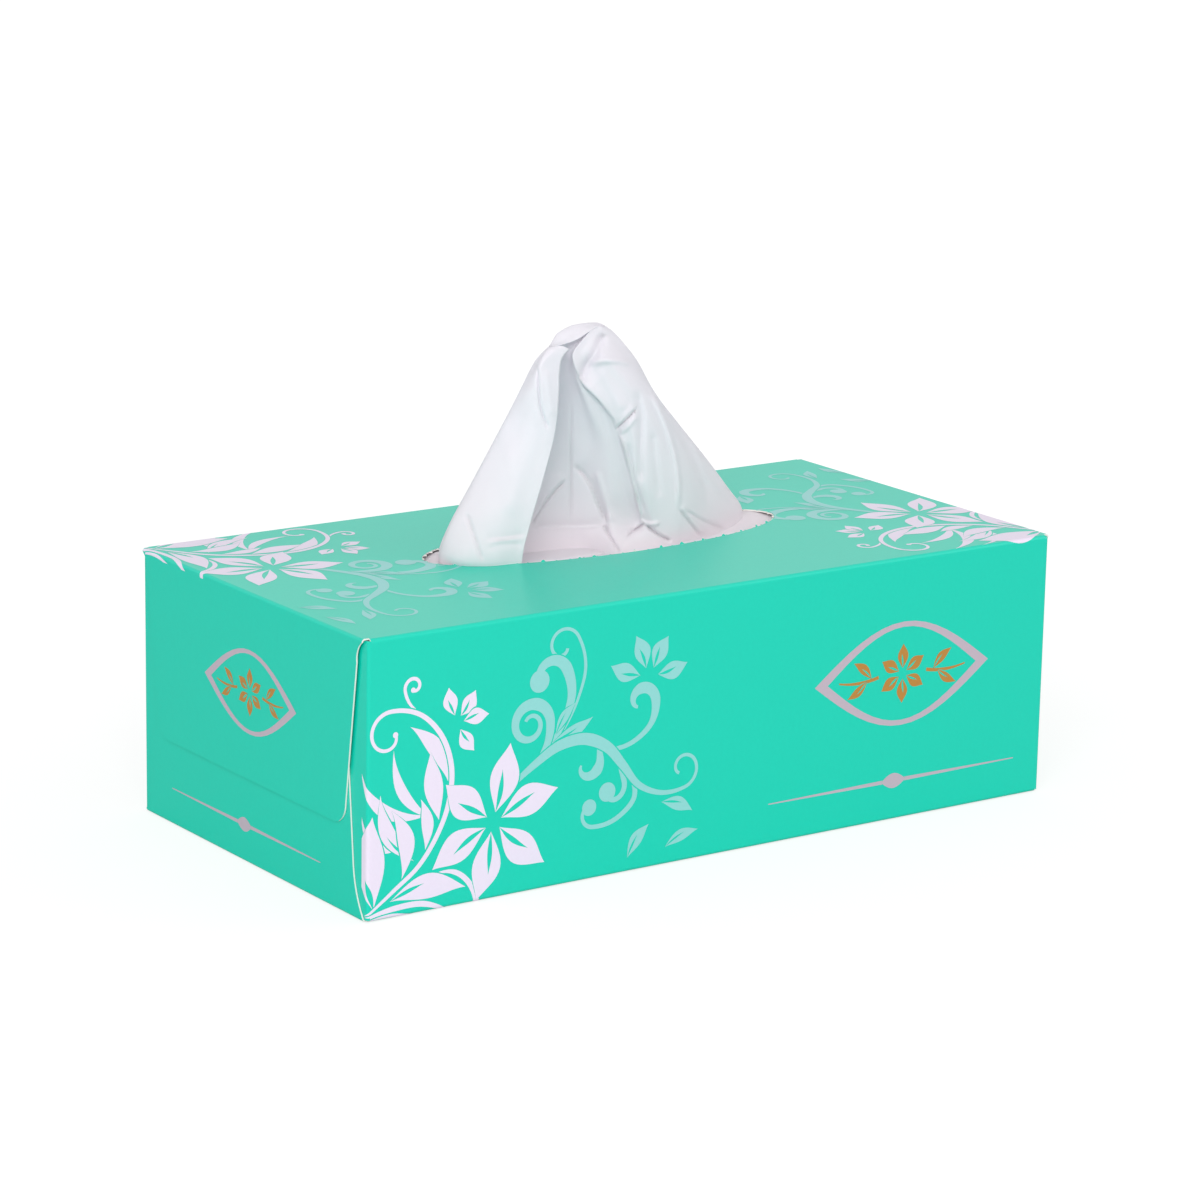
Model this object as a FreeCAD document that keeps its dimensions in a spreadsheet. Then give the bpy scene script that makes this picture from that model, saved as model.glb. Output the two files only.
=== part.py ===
import FreeCAD, Part
import math
import os

import Sketcher

# Tissue box: a folded and glued carton, the stack of interfolded tissues in it, and the sheet
# that stands out of its opening.
# Millimetres. The origin is the middle of the carton's underside. X runs along the carton,
# the front panel faces -Y, and Z points up.

os.makedirs("parts", exist_ok=True)
doc = FreeCAD.newDocument("TissueBox")

# Driving sizes
SIZES = [
    ("box_length", 230.0, "over the glued end flaps"),
    ("box_width", 118.0, "front panel to back panel"),
    ("box_height", 76.0, "underside to top panel"),
    ("board", 0.45, "thickness of the carton board"),
    ("long_fold", 1.1, "outer radius of the four long folds"),
    ("end_fold", 0.9, "outer radius of the folds at the ends"),
    ("glue_gap", 0.1, "air between two glued flaps"),
    ("corner_gap", 0.3, "long fold to the side of a top or bottom flap"),
    ("glue_lap", 14.0, "height of the lap inside the back panel"),
    ("glue_lap_end", 7.0, "end of the panel to the end of the lap"),
    ("top_flap_drop", 52.0, "top panel to the lower edge of the top flap"),
    ("top_flap_corner", 6.0, "radius of its two lower corners"),
    ("top_flap_shoulder", 6.0, "depth of the curve under its fold"),
    ("top_flap_inset", 4.0, "side edge to box side, below the shoulder"),
    ("top_flap_taper", 5.2, "how much further in the side edge is lower down"),
    ("bottom_flap_rise", 50.0, "underside to the upper edge of the bottom flap"),
    ("bottom_flap_flare", 14.0, "height of the flared foot of its side edge"),
    ("bottom_flap_inset", 6.2, "side edge to box side, above the foot"),
    ("bottom_flap_taper", 2.6, "how much further in the side edge is higher up"),
    ("bottom_flap_corner", 8.0, "radius of its two upper corners"),
    ("dust_flap_reach", 46.0, "box side to the free edge of a dust flap"),
    ("dust_flap_taper", 5.0, "slope of its upper and lower edges"),
    ("dust_gap", 0.1, "slit between a dust flap and the panel above or below it"),
    ("opening_length", 118.0, "oval opening along X"),
    ("opening_width", 39.0, "oval opening along Y"),
    ("opening_right", 3.0, "centre of the opening, to the right"),
    ("opening_back", 4.5, "centre of the opening, towards the back"),
    ("nub_spacing", 4.2, "from one perforation nub to the next"),
    ("nub_width", 1.1, "root of a nub"),
    ("nub_height", 0.7, "edge of the opening to the tip of a nub"),
    ("nub_root", 0.45, "how far a nub runs back into the panel"),
    ("end_room", 6.95, "dust flap to the end of the stack"),
    ("side_room", 6.05, "front or back panel to the folds of the stack"),
    ("head_room", 3.1, "underside of the top panel to the stack's crest"),
    ("sheet", 0.3, "thickness of a two-ply tissue with its crimp"),
    ("sheet_gap", 0.1, "air between two interfolded tissues"),
    ("fold_room", 0.6, "free edge of a sheet to the fold around it"),
    ("stack_crown", 6.0, "crest above the stack's folded edges"),
    ("stack_bulge", 0.8, "swell of its two folded sides"),
    ("stack_soft_edge", 2.0, "radius of its long edges"),
    ("root_reach", 5.25, "how far the pulled sheet runs past the crest before it ends"),
    ("standing_height", 62.2, "top panel to the crest of the standing tissue"),
    ("standing_room", 8.0, "its left or right fold to the tip of the opening"),
    ("standing_left", 1.2, "its axis, left of the opening's centre"),
    ("standing_forward", 4.5, "its axis, in front of the opening's centre"),
    ("foot_seat", 0.23, "how deep its foot is joined into the layer it rises from"),
]
# Steps in which the edge of the opening is walked, and how far a cut's volume may be off
EDGE_STEPS = 2000
VOLUME_TOLERANCE = 0.05

sheet = doc.addObject("Spreadsheet::Sheet", "Sizes")
for row, (alias, number, note) in enumerate(SIZES, start=1):
    sheet.set("A" + str(row), alias)
    sheet.set("B" + str(row), str(number))
    sheet.set("C" + str(row), note)
    sheet.setAlias("B" + str(row), alias)
doc.recompute()


def size(alias):
    """A driving size, in millimetres."""
    return float(sheet.get(alias))


# Planes that the pieces share, as expressions on the sheet
HALF_LENGTH = "Sizes.box_length / 2"
TOP = "Sizes.box_height"
BOARD = "Sizes.board"
LONG_FOLD = "Sizes.long_fold"
END_FOLD = "Sizes.end_fold"
FOLD_INSIDE = "(Sizes.end_fold - Sizes.board)"
BOTTOM_FLAP_FACE = "(Sizes.box_length / 2 - Sizes.board - Sizes.glue_gap)"
DUST_FLAP_FACE = "(Sizes.box_length / 2 - 2 * Sizes.board - 2 * Sizes.glue_gap)"
SLEEVE_END = "(Sizes.box_length / 2 - 2 * Sizes.board - 2 * Sizes.glue_gap - Sizes.end_fold)"
FLAP_HALF_WIDTH = "(Sizes.box_width / 2 - Sizes.long_fold - Sizes.corner_gap)"


class Outline:
    """A sketch of closed outlines whose corners and radii are bound to the sheet."""

    def __init__(self, body, name, plane, distance=None):
        self.body = body
        self.sketch = body.newObject("Sketcher::SketchObject", name)
        origin_plane = [f for f in body.Origin.OriginFeatures if f.Role == plane][0]
        self.sketch.AttachmentSupport = [(origin_plane, "")]
        self.sketch.MapMode = "FlatFace"
        if distance:
            self.sketch.setExpression("AttachmentOffset.Base.z", distance)

    def number(self, expression):
        return float(self.body.evalExpression(expression))

    def bind(self, kind, places, expression):
        """Adds one driving constraint and ties it to the sheet."""
        value = self.number(expression)
        index = self.sketch.addConstraint(Sketcher.Constraint(kind, *places, value))
        name = kind.lower() + "_" + str(index)
        self.sketch.renameConstraint(index, name)
        self.sketch.setExpression("Constraints." + name, expression)

    def close(self, corners):
        """Draws one closed outline. A corner is (x, y), with (radius, turn) where an arc leaves it."""
        ends = []
        for place, corner in enumerate(corners):
            following = corners[(place + 1) % len(corners)]
            start = FreeCAD.Vector(self.number(corner[0]), self.number(corner[1]), 0)
            stop = FreeCAD.Vector(self.number(following[0]), self.number(following[1]), 0)
            if len(corner) == 2:
                edge = self.sketch.addGeometry(Part.LineSegment(start, stop))
                ends.append(((edge, 1), (edge, 2)))
            else:
                ends.append(self.arc(start, stop, corner[2], corner[3]))
        for place, (first, last) in enumerate(ends):
            following = ends[(place + 1) % len(ends)][0]
            self.sketch.addConstraint(Sketcher.Constraint("Coincident", *last, *following))
            self.bind("DistanceX", (-1, 1, *first), corners[place][0])
            self.bind("DistanceY", (-1, 1, *first), corners[place][1])

    def arc(self, start, stop, radius, turn):
        """Adds the short arc from start to stop, which turns to the left or to the right."""
        length = self.number(radius)
        chord = stop - start
        side = 1 if turn == "left" else -1
        rise = math.sqrt(max(length ** 2 - (chord.Length / 2) ** 2, 0))
        across = FreeCAD.Vector(-chord.y, chord.x, 0).normalize()
        centre = (start + stop) / 2 + across * rise * side
        first, last = (start, stop) if turn == "left" else (stop, start)
        from_angle = math.atan2(first.y - centre.y, first.x - centre.x)
        to_angle = math.atan2(last.y - centre.y, last.x - centre.x)
        circle = Part.Circle(centre, FreeCAD.Vector(0, 0, 1), length)
        edge = self.sketch.addGeometry(Part.ArcOfCircle(circle, from_angle, to_angle))
        self.bind("Radius", (edge,), radius)
        if turn == "left":
            return (edge, 1), (edge, 2)
        return (edge, 2), (edge, 1)

    def ellipse(self, centre_x, centre_y, length, width):
        """Draws an ellipse whose long axis lies along the sketch's horizontal."""
        centre = FreeCAD.Vector(self.number(centre_x), self.number(centre_y), 0)
        curve = Part.Ellipse(centre, self.number(length) / 2, self.number(width) / 2)
        edge = self.sketch.addGeometry(curve)
        self.sketch.exposeInternalGeometry(edge)
        long_axis, short_axis = edge + 1, edge + 2
        self.sketch.addConstraint(Sketcher.Constraint("Horizontal", long_axis))
        self.bind("DistanceX", (-1, 1, edge, 3), centre_x)
        self.bind("DistanceY", (-1, 1, edge, 3), centre_y)
        self.bind("Distance", (long_axis,), length)
        self.bind("Distance", (short_axis,), width)

    def pad(self, name, length, symmetric=False):
        """Pads the outlines along their normal, or to both sides of their plane."""
        feature = self.body.newObject("PartDesign::Pad", name)
        feature.Profile = self.sketch
        feature.SideType = "Symmetric" if symmetric else "One side"
        feature.setExpression("Length", length)
        doc.recompute()
        return feature


def both_sides(corners):
    """Completes the right half of an outline, given from top to bottom, with its mirror image."""
    left = []
    for place in range(len(corners) - 1, -1, -1):
        across, up = corners[place][:2]
        arc = corners[place - 1][2:] if place else ()
        left.append(("-(" + across + ")", up, *arc))
    return corners + left


# Carton
carton = doc.addObject("PartDesign::Body", "Carton")
carton.Label = "carton"


def rounded_ring(outline, inset, radius):
    """Draws the sleeve's section, inset from the outer faces of the four panels."""
    right = "(Sizes.box_width / 2 - " + inset + ")"
    left = "-" + right
    low = inset
    high = "(Sizes.box_height - " + inset + ")"
    outline.close([
        (left + " + " + radius, low),
        (right + " - " + radius, low, radius, "left"),
        (right, low + " + " + radius),
        (right, high + " - " + radius, radius, "left"),
        (right + " - " + radius, high),
        (left + " + " + radius, high, radius, "left"),
        (left, high + " - " + radius),
        (left, low + " + " + radius, radius, "left"),
    ])


# Four panels, folded into a sleeve from the blank
sleeve = Outline(carton, "SleeveSection", "YZ_Plane")
rounded_ring(sleeve, "0", LONG_FOLD)
rounded_ring(sleeve, BOARD, "(Sizes.long_fold - Sizes.board)")
sleeve.pad("Sleeve", "2 * " + SLEEVE_END, symmetric=True)

# The glue lap, which closes the sleeve inside the back panel
lap = Outline(carton, "GlueLapSection", "YZ_Plane")
lap.close([
    ("Sizes.box_width / 2 - 2 * Sizes.board", LONG_FOLD),
    ("Sizes.box_width / 2 - Sizes.board", LONG_FOLD),
    ("Sizes.box_width / 2 - Sizes.board", "Sizes.long_fold + Sizes.glue_lap"),
    ("Sizes.box_width / 2 - 2 * Sizes.board", "Sizes.long_fold + Sizes.glue_lap"),
])
lap_pad = lap.pad("GlueLap", "2 * (" + SLEEVE_END + " - Sizes.glue_lap_end)", symmetric=True)

# The oval opening in the top panel
oval = Outline(carton, "OpeningOutline", "XY_Plane", TOP)
oval.ellipse("Sizes.opening_right", "Sizes.opening_back", "Sizes.opening_length", "Sizes.opening_width")
opening = carton.newObject("PartDesign::Pocket", "Opening")
opening.Profile = oval.sketch
opening.Reversed = False
opening.setExpression("Length", "2 * Sizes.board")
doc.recompute()
oval_area = math.pi * size("opening_length") * size("opening_width") / 4
removed = lap_pad.Shape.Volume - opening.Shape.Volume
if abs(removed / (oval_area * size("board")) - 1) > VOLUME_TOLERANCE:
    raise RuntimeError("The opening does not go through the top panel alone")


def oval_point(turn):
    """A point of the opening's edge and its outward direction, at a turn about its centre."""
    long_half = size("opening_length") / 2
    short_half = size("opening_width") / 2
    across = FreeCAD.Vector(math.cos(turn) / long_half, math.sin(turn) / short_half, 0).normalize()
    point = FreeCAD.Vector(long_half * math.cos(turn), short_half * math.sin(turn), 0)
    return point + FreeCAD.Vector(size("opening_right"), size("opening_back"), 0), across


def even_turns(spacing):
    """The turns at which points lie evenly spaced along the opening's edge."""
    turns = [2 * math.pi * step / EDGE_STEPS for step in range(EDGE_STEPS + 1)]
    points = [oval_point(turn)[0] for turn in turns]
    walked = [0.0]
    for first, second in zip(points, points[1:]):
        walked.append(walked[-1] + (second - first).Length)
    count = max(round(walked[-1] / spacing), 1)
    chosen = []
    step = 0
    for place in range(count):
        while walked[step] < walked[-1] * place / count:
            step += 1
        chosen.append(turns[step])
    return chosen


# Dust flaps, folded in from the front and back panels
DUST_LOW = "(Sizes.board + Sizes.dust_gap)"
DUST_HIGH = "(Sizes.box_height - Sizes.board - Sizes.dust_gap)"
dust_folds = Outline(carton, "DustFoldSections", "XY_Plane", DUST_LOW)
for side in ("-1", "1"):
    outer = side + " * Sizes.box_width / 2"
    inner = side + " * (Sizes.box_width / 2 - Sizes.board)"
    corner = side + " * (Sizes.box_width / 2 - Sizes.end_fold)"
    turns = ("left", "right") if side == "-1" else ("right", "left")
    dust_folds.close([
        (SLEEVE_END, outer, END_FOLD, turns[0]),
        (DUST_FLAP_FACE, corner),
        (DUST_FLAP_FACE + " - " + BOARD, corner, FOLD_INSIDE, turns[1]),
        (SLEEVE_END, inner),
    ])
dust_fold_pad = dust_folds.pad("DustFolds", DUST_HIGH + " - " + DUST_LOW)

dust_plates = Outline(carton, "DustFlapOutlines", "YZ_Plane", DUST_FLAP_FACE + " - " + BOARD)
for side in ("-1", "1"):
    fold_line = side + " * (Sizes.box_width / 2 - Sizes.end_fold)"
    free_edge = side + " * (Sizes.box_width / 2 - Sizes.dust_flap_reach)"
    dust_plates.close([
        (fold_line, DUST_LOW),
        (free_edge, DUST_LOW + " + Sizes.dust_flap_taper"),
        (free_edge, DUST_HIGH + " - Sizes.dust_flap_taper"),
        (fold_line, DUST_HIGH),
    ])
dust_plate_pad = dust_plates.pad("DustFlaps", BOARD)


def end_fold_section(name, face, panel, inwards):
    """Draws the fold from a panel at a height into its flap, whose outer face is at a distance."""
    fold = Outline(carton, name, "XZ_Plane")
    turns = ("left", "right") if inwards == "+" else ("right", "left")
    bend = panel + " " + inwards + " Sizes.end_fold"
    inside = panel + " " + inwards + " Sizes.board"
    fold.close([
        (SLEEVE_END, panel),
        (face + " - Sizes.end_fold", panel, END_FOLD, turns[0]),
        (face, bend),
        (face + " - Sizes.board", bend, FOLD_INSIDE, turns[1]),
        (face + " - Sizes.end_fold", inside),
        (SLEEVE_END, inside),
    ])
    return fold


# Bottom flap, folded up over the dust flaps
bottom_fold = end_fold_section("BottomFoldSection", BOTTOM_FLAP_FACE, "0", "+")
bottom_fold_pad = bottom_fold.pad("BottomFold", "2 * " + FLAP_HALF_WIDTH, symmetric=True)
bottom_plate = Outline(carton, "BottomFlapOutline", "YZ_Plane", BOTTOM_FLAP_FACE + " - " + BOARD)
bottom_plate.close(both_sides([
    ("Sizes.box_width / 2 - Sizes.bottom_flap_inset - Sizes.bottom_flap_taper - Sizes.bottom_flap_corner",
     "Sizes.bottom_flap_rise", "Sizes.bottom_flap_corner", "right"),
    ("Sizes.box_width / 2 - Sizes.bottom_flap_inset - Sizes.bottom_flap_taper",
     "Sizes.bottom_flap_rise - Sizes.bottom_flap_corner"),
    ("Sizes.box_width / 2 - Sizes.bottom_flap_inset", "Sizes.bottom_flap_flare",
     "2 * Sizes.bottom_flap_flare", "left"),
    (FLAP_HALF_WIDTH, END_FOLD),
]))
bottom_plate_pad = bottom_plate.pad("BottomFlap", BOARD)

# Top flap, folded down and glued over the bottom flap
top_fold = end_fold_section("TopFoldSection", HALF_LENGTH, TOP, "-")
top_fold_pad = top_fold.pad("TopFold", "2 * " + FLAP_HALF_WIDTH, symmetric=True)
top_plate = Outline(carton, "TopFlapOutline", "YZ_Plane", HALF_LENGTH + " - " + BOARD)
LOW_EDGE = "Sizes.box_height - Sizes.top_flap_drop"
top_plate.close(both_sides([
    (FLAP_HALF_WIDTH, "Sizes.box_height - Sizes.end_fold", "Sizes.top_flap_shoulder", "left"),
    ("Sizes.box_width / 2 - Sizes.top_flap_inset",
     "Sizes.box_height - Sizes.end_fold - Sizes.top_flap_shoulder"),
    ("Sizes.box_width / 2 - Sizes.top_flap_inset - Sizes.top_flap_taper",
     LOW_EDGE + " + Sizes.top_flap_corner", "Sizes.top_flap_corner", "right"),
    ("Sizes.box_width / 2 - Sizes.top_flap_inset - Sizes.top_flap_taper - Sizes.top_flap_corner", LOW_EDGE),
]))
top_plate_pad = top_plate.pad("TopFlap", BOARD)

# The same flaps at the other end
other_end = carton.newObject("PartDesign::Mirrored", "OtherEnd")
other_end.Originals = [
    dust_fold_pad, dust_plate_pad, bottom_fold_pad, bottom_plate_pad, top_fold_pad, top_plate_pad,
]
other_end.MirrorPlane = ([f for f in carton.Origin.OriginFeatures if f.Role == "YZ_Plane"][0], [""])
carton.Tip = other_end
doc.recompute()

# The nubs that the perforation leaves along the torn edge
nubs = Outline(carton, "NubOutlines", "XY_Plane", TOP)
for turn in even_turns(size("nub_spacing")):
    edge_point, outward = oval_point(turn)
    along = FreeCAD.Vector(-outward.y, outward.x, 0)
    root = edge_point + outward * size("nub_root")
    tip = edge_point - outward * size("nub_height")
    corners = [root + along * size("nub_width") / 2, tip, root - along * size("nub_width") / 2]
    for first, second in zip(corners, corners[1:] + corners[:1]):
        nubs.sketch.addGeometry(Part.LineSegment(first, second))
nub_pad = nubs.pad("Nubs", BOARD)
nub_pad.Reversed = True
doc.recompute()
if nub_pad.Shape.Volume <= other_end.Shape.Volume:
    raise RuntimeError("The nubs do not stand on the edge of the opening")

# Stack of interfolded tissues, which swells up towards the opening
SHEET_LENGTH = "(2 * (" + DUST_FLAP_FACE + " - Sizes.board - Sizes.end_room))"
HALF_DEPTH = "(Sizes.box_width / 2 - Sizes.board - Sizes.side_room)"
CREST = "(Sizes.box_height - Sizes.board - Sizes.head_room)"
CROWN_RADIUS = "((" + HALF_DEPTH + " ^ 2 + Sizes.stack_crown ^ 2) / (2 * Sizes.stack_crown))"
CROWN_CENTRE = "(" + CREST + " - " + CROWN_RADIUS + ")"
SINE = "(" + HALF_DEPTH + " / " + CROWN_RADIUS + ")"
PITCH = "(Sizes.sheet + Sizes.sheet_gap)"
PILE_EDGE = "(" + CREST + " - Sizes.stack_crown)"
PILE_SIDE = "(" + PILE_EDGE + " - Sizes.board)"
SIDE_RADIUS = "((" + PILE_SIDE + " ^ 2 / 4 + Sizes.stack_bulge ^ 2) / (2 * Sizes.stack_bulge))"

stack = doc.addObject("PartDesign::Body", "TissueStack")
stack.Label = "tissue_stack"
pile = Outline(stack, "StackSection", "YZ_Plane")
pile.close([
    ("-" + HALF_DEPTH, BOARD),
    (HALF_DEPTH, BOARD, SIDE_RADIUS, "left"),
    (HALF_DEPTH, PILE_EDGE, CROWN_RADIUS, "left"),
    ("-" + HALF_DEPTH, PILE_EDGE, SIDE_RADIUS, "left"),
])
pile_pad = pile.pad("Pile", SHEET_LENGTH, symmetric=True)
soft_edges = stack.newObject("PartDesign::Fillet", "SoftEdges")
long_edges = []
for place, edge in enumerate(pile_pad.Shape.Edges, start=1):
    if edge.BoundBox.XLength > size("end_room"):
        long_edges.append("Edge" + str(place))
soft_edges.Base = (pile_pad, long_edges)
soft_edges.setExpression("Radius", "Sizes.stack_soft_edge")
doc.recompute()


def on_crown(level, side, share="1"):
    """A point of the crowned layers, at a height over the stack and a share of its half depth."""
    radius = "(" + CROWN_RADIUS + " + " + level + ")"
    sine = "(" + share + " * " + SINE + ")"
    across = side + " * " + radius + " * " + sine
    up = CROWN_CENTRE + " + " + radius + " * sqrt(1 - " + sine + " ^ 2)"
    return across, up


def fold_tip(level, side, radius):
    """The outermost point of a sheet's fold, whose middle is at a height over the stack."""
    middle = "(" + CROWN_RADIUS + " + " + level + ")"
    cosine = "sqrt(1 - " + SINE + " ^ 2)"
    across = side + " * (" + middle + " * " + SINE + " + " + radius + " * " + cosine + ")"
    up = CROWN_CENTRE + " + " + middle + " * " + cosine + " - " + radius + " * " + SINE
    return across, up


def folded_sheet(outline, first_level, fold_side, lower_share, upper_side, upper_share):
    """Draws a tissue folded over its neighbour: two crowned layers and the fold that joins them."""
    inner = "(" + first_level + " + Sizes.sheet)"
    upper = "(" + first_level + " + 2 * " + PITCH + ")"
    outer = "(" + upper + " + Sizes.sheet)"
    middle = "(" + first_level + " + " + PITCH + " + Sizes.sheet / 2)"
    outside = "(" + PITCH + " + Sizes.sheet / 2)"
    inside = "(" + PITCH + " - Sizes.sheet / 2)"
    free_side = "-1" if fold_side == "1" else "1"
    there, back = ("right", "left") if fold_side == "-1" else ("left", "right")

    def arc(level):
        return "(" + CROWN_RADIUS + " + " + level + ")"

    outline.close([
        (*on_crown(first_level, fold_side), arc(first_level), there),
        on_crown(first_level, free_side, lower_share),
        (*on_crown(inner, free_side, lower_share), arc(inner), back),
        (*on_crown(inner, fold_side), inside, there),
        (*fold_tip(middle, fold_side, inside), inside, there),
        (*on_crown(upper, fold_side), arc(upper), there),
        on_crown(upper, upper_side, upper_share),
        (*on_crown(outer, upper_side, upper_share), arc(outer), back),
        (*on_crown(outer, fold_side), outside, back),
        (*fold_tip(middle, fold_side, outside), outside, back),
    ])


TUCKED_SHARE = "(1 - Sizes.fold_room / " + HALF_DEPTH + ")"
ROOT_SHARE = "(Sizes.root_reach / " + HALF_DEPTH + ")"

# The next tissue, folded at the front, whose upper half covers the pulled tissue's lower half
next_tissue = doc.addObject("PartDesign::Body", "NextTissue")
next_tissue.Label = "next_tissue"
next_section = Outline(next_tissue, "NextSection", "YZ_Plane")
folded_sheet(next_section, "Sizes.sheet_gap", "-1", "1", "1", TUCKED_SHARE)
next_section.pad("NextSheet", SHEET_LENGTH, symmetric=True)

# The pulled tissue: its lower half lies inside the fold of the next one, and its upper half runs
# from the fold at the back, over the crown, to the opening, where it stands up as a gathered hood
pulled_flat = doc.addObject("PartDesign::Body", "PulledTissueFlat")
pulled_section = Outline(pulled_flat, "PulledSection", "YZ_Plane")
folded_sheet(pulled_section, "(Sizes.sheet_gap + " + PITCH + ")", "1", TUCKED_SHARE, "-1", ROOT_SHARE)
pulled_flat.Label = "pulled_tissue_in_box"
pulled_section.pad("PulledSheet", SHEET_LENGTH, symmetric=True)

# Plan of the hood, from its free left edge round the left fold, through the recess and round the
# right fold to its free edge at the back. Each place gives its shares of the half width and of the
# opening's half width to the back, at the opening and where the hood starts to close.
HOOD_PLAN = {
    "free_edge": (-0.34, -0.55, -0.53, -0.43),
    "facet": (-0.62, -0.47, -0.76, -0.33),
    "facet_side": (-0.88, -0.205, -0.93, -0.13),
    "left_fold": (-1.00, 0.155, -1.00, 0.10),
    "left_back": (-0.86, 0.46, -0.84, 0.34),
    "recess_left": (-0.60, 0.50, -0.54, 0.44),
    "recess": (-0.26, 0.48, -0.30, 0.38),
    "recess_right": (0.02, 0.33, -0.13, 0.20),
    "crease_foot": (0.13, -0.03, -0.10, -0.04),
    "right_crease": (0.21, -0.34, -0.05, -0.28),
    "right_front": (0.45, -0.45, 0.28, -0.33),
    "right_side": (0.82, -0.235, 0.75, -0.20),
    "right_fold": (1.00, 0.22, 1.00, 0.10),
    "right_back": (0.86, 0.58, 0.86, 0.42),
    "back": (0.48, 0.74, 0.40, 0.58),
    "back_middle": (0.04, 0.79, 0.00, 0.62),
    "back_edge": (-0.36, 0.77, -0.40, 0.59),
}
# Up the hood: share of the way from foot to crest, of the half width and of the depth, and how
# far the axis has leant to the left
HOOD_STATIONS = [
    (0.000, 1.020, 1.00, 0.0),
    (0.130, 0.920, 0.98, 1.6),
    (0.275, 0.805, 0.97, 4.4),
    (0.478, 0.635, 0.98, 5.4),
    (0.700, 0.423, 0.90, 7.2),
    (0.845, 0.300, 0.66, 8.0),
    (0.932, 0.210, 0.44, 8.3),
    (0.990, 0.115, 0.20, 8.0),
]
CLOSING_SHARE = 0.7
# Flat strips of the hood between two places of its plan
STRIPS = 3

box_top = size("box_height")
underside = box_top - size("board")
layer_top = underside - size("head_room") + 4 * (size("sheet_gap") + size("sheet"))
foot = layer_top - size("foot_seat")
crest = box_top + size("standing_height")
half_width = size("opening_length") / 2 - size("standing_room")
half_depth = size("opening_width") / 2
axis_x = size("opening_right") - size("standing_left")
axis_y = size("opening_back") - size("standing_forward")


def hood_line(station):
    """The middle line of the sheet at a station of the hood."""
    share, width, depth, lean = station
    blend = min(share / CLOSING_SHARE, 1)
    up = foot + share * (crest - foot)
    points = []
    for low_x, low_y, high_x, high_y in HOOD_PLAN.values():
        across = (low_x + (high_x - low_x) * blend) * width * half_width
        back = (low_y + (high_y - low_y) * blend) * depth * half_depth
        points.append(FreeCAD.Vector(axis_x - lean + across, axis_y + back, up))
    return points


def hood_section(station, parameters):
    """The closed outline of the sheet's thickness at a station of the hood."""
    line = Part.BSplineCurve()
    line.interpolate(Points=hood_line(station), Parameters=parameters)
    left, right = [], []
    for parameter in strip_edges(parameters):
        tangent = line.tangent(parameter)[0]
        across = FreeCAD.Vector(-tangent.y, tangent.x, 0) * size("sheet") / 2
        left.append(line.value(parameter) + across)
        right.append(line.value(parameter) - across)
    loop = left + right[::-1]
    return Part.makePolygon(loop + loop[:1])


def strip_edges(parameters):
    """The parameters at which one strip of the hood ends and the next begins."""
    edges = []
    for first, second in zip(parameters, parameters[1:]):
        edges += [first + (second - first) * step / STRIPS for step in range(STRIPS)]
    return edges + [parameters[-1]]


base_line = hood_line(HOOD_STATIONS[0])
walked = [0.0]
for first, second in zip(base_line, base_line[1:]):
    walked.append(walked[-1] + (second - first).Length)
parameters = [distance / walked[-1] for distance in walked]
hood = Part.makeLoft([hood_section(station, parameters) for station in HOOD_STATIONS], True, False)
hood_sheet = doc.addObject("Part::Feature", "StandingHood")
hood_sheet.Shape = hood
pulled = doc.addObject("Part::MultiFuse", "PulledTissue")
pulled.Label = "pulled_tissue"
pulled.Shapes = [pulled_flat, hood_sheet]
doc.recompute()

# Checks, then one file for each piece
for item in doc.Objects:
    if "Invalid" in item.State or "Error" in item.State:
        raise RuntimeError(item.Label + " was not made: " + ", ".join(item.State))
for piece in (carton, stack, next_tissue, pulled):
    shape = piece.Shape
    if shape.isNull() or not shape.isValid() or len(shape.Solids) != 1:
        raise RuntimeError(piece.Label + " is not one valid solid")
    shape.exportStep("parts/" + piece.Label + ".step")
    print(piece.Label, round(shape.Volume), "mm3")
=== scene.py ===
"""Looks of the tissue box: the printed carton, the tissue that stands out of it and the ones below."""

import logging
import math
from dataclasses import dataclass
from enum import Enum
from functools import reduce
from typing import Callable, Iterable, Sequence

import bpy
import numpy as np
from mathutils import Matrix, Vector
from mathutils.geometry import delaunay_2d_cdt


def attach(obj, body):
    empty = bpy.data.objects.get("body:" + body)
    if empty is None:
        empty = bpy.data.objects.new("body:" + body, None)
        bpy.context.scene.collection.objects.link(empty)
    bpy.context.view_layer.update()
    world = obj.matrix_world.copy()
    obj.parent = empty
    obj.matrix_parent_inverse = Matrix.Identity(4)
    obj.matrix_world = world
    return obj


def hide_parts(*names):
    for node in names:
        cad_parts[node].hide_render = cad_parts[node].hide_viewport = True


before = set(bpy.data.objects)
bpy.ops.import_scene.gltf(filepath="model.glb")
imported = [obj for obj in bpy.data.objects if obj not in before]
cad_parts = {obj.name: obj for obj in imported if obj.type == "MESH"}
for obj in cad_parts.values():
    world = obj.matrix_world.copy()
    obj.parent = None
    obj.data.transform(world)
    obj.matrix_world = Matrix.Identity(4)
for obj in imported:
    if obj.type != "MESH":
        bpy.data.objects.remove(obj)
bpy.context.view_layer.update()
MM = 0.001
BODY = "root"
WHITE = (1, 1, 1, 1)
LOG = logging.getLogger("tissue_box")

Point = tuple[float, float]
Place = tuple[float, float, float]
Colour = tuple[float, float, float]


class Slot(Enum):
    """Material slots of the record."""

    BOARD = "printed_board"
    FLOWERS = "flower_print"
    SCROLLS = "scroll_print"
    LABEL = "label_print"
    GOLD = "gold_print"
    STACK = "stack_tissue"
    FOLDED = "folded_tissue"
    STANDING = "tissue"


# Shader expressions


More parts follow.
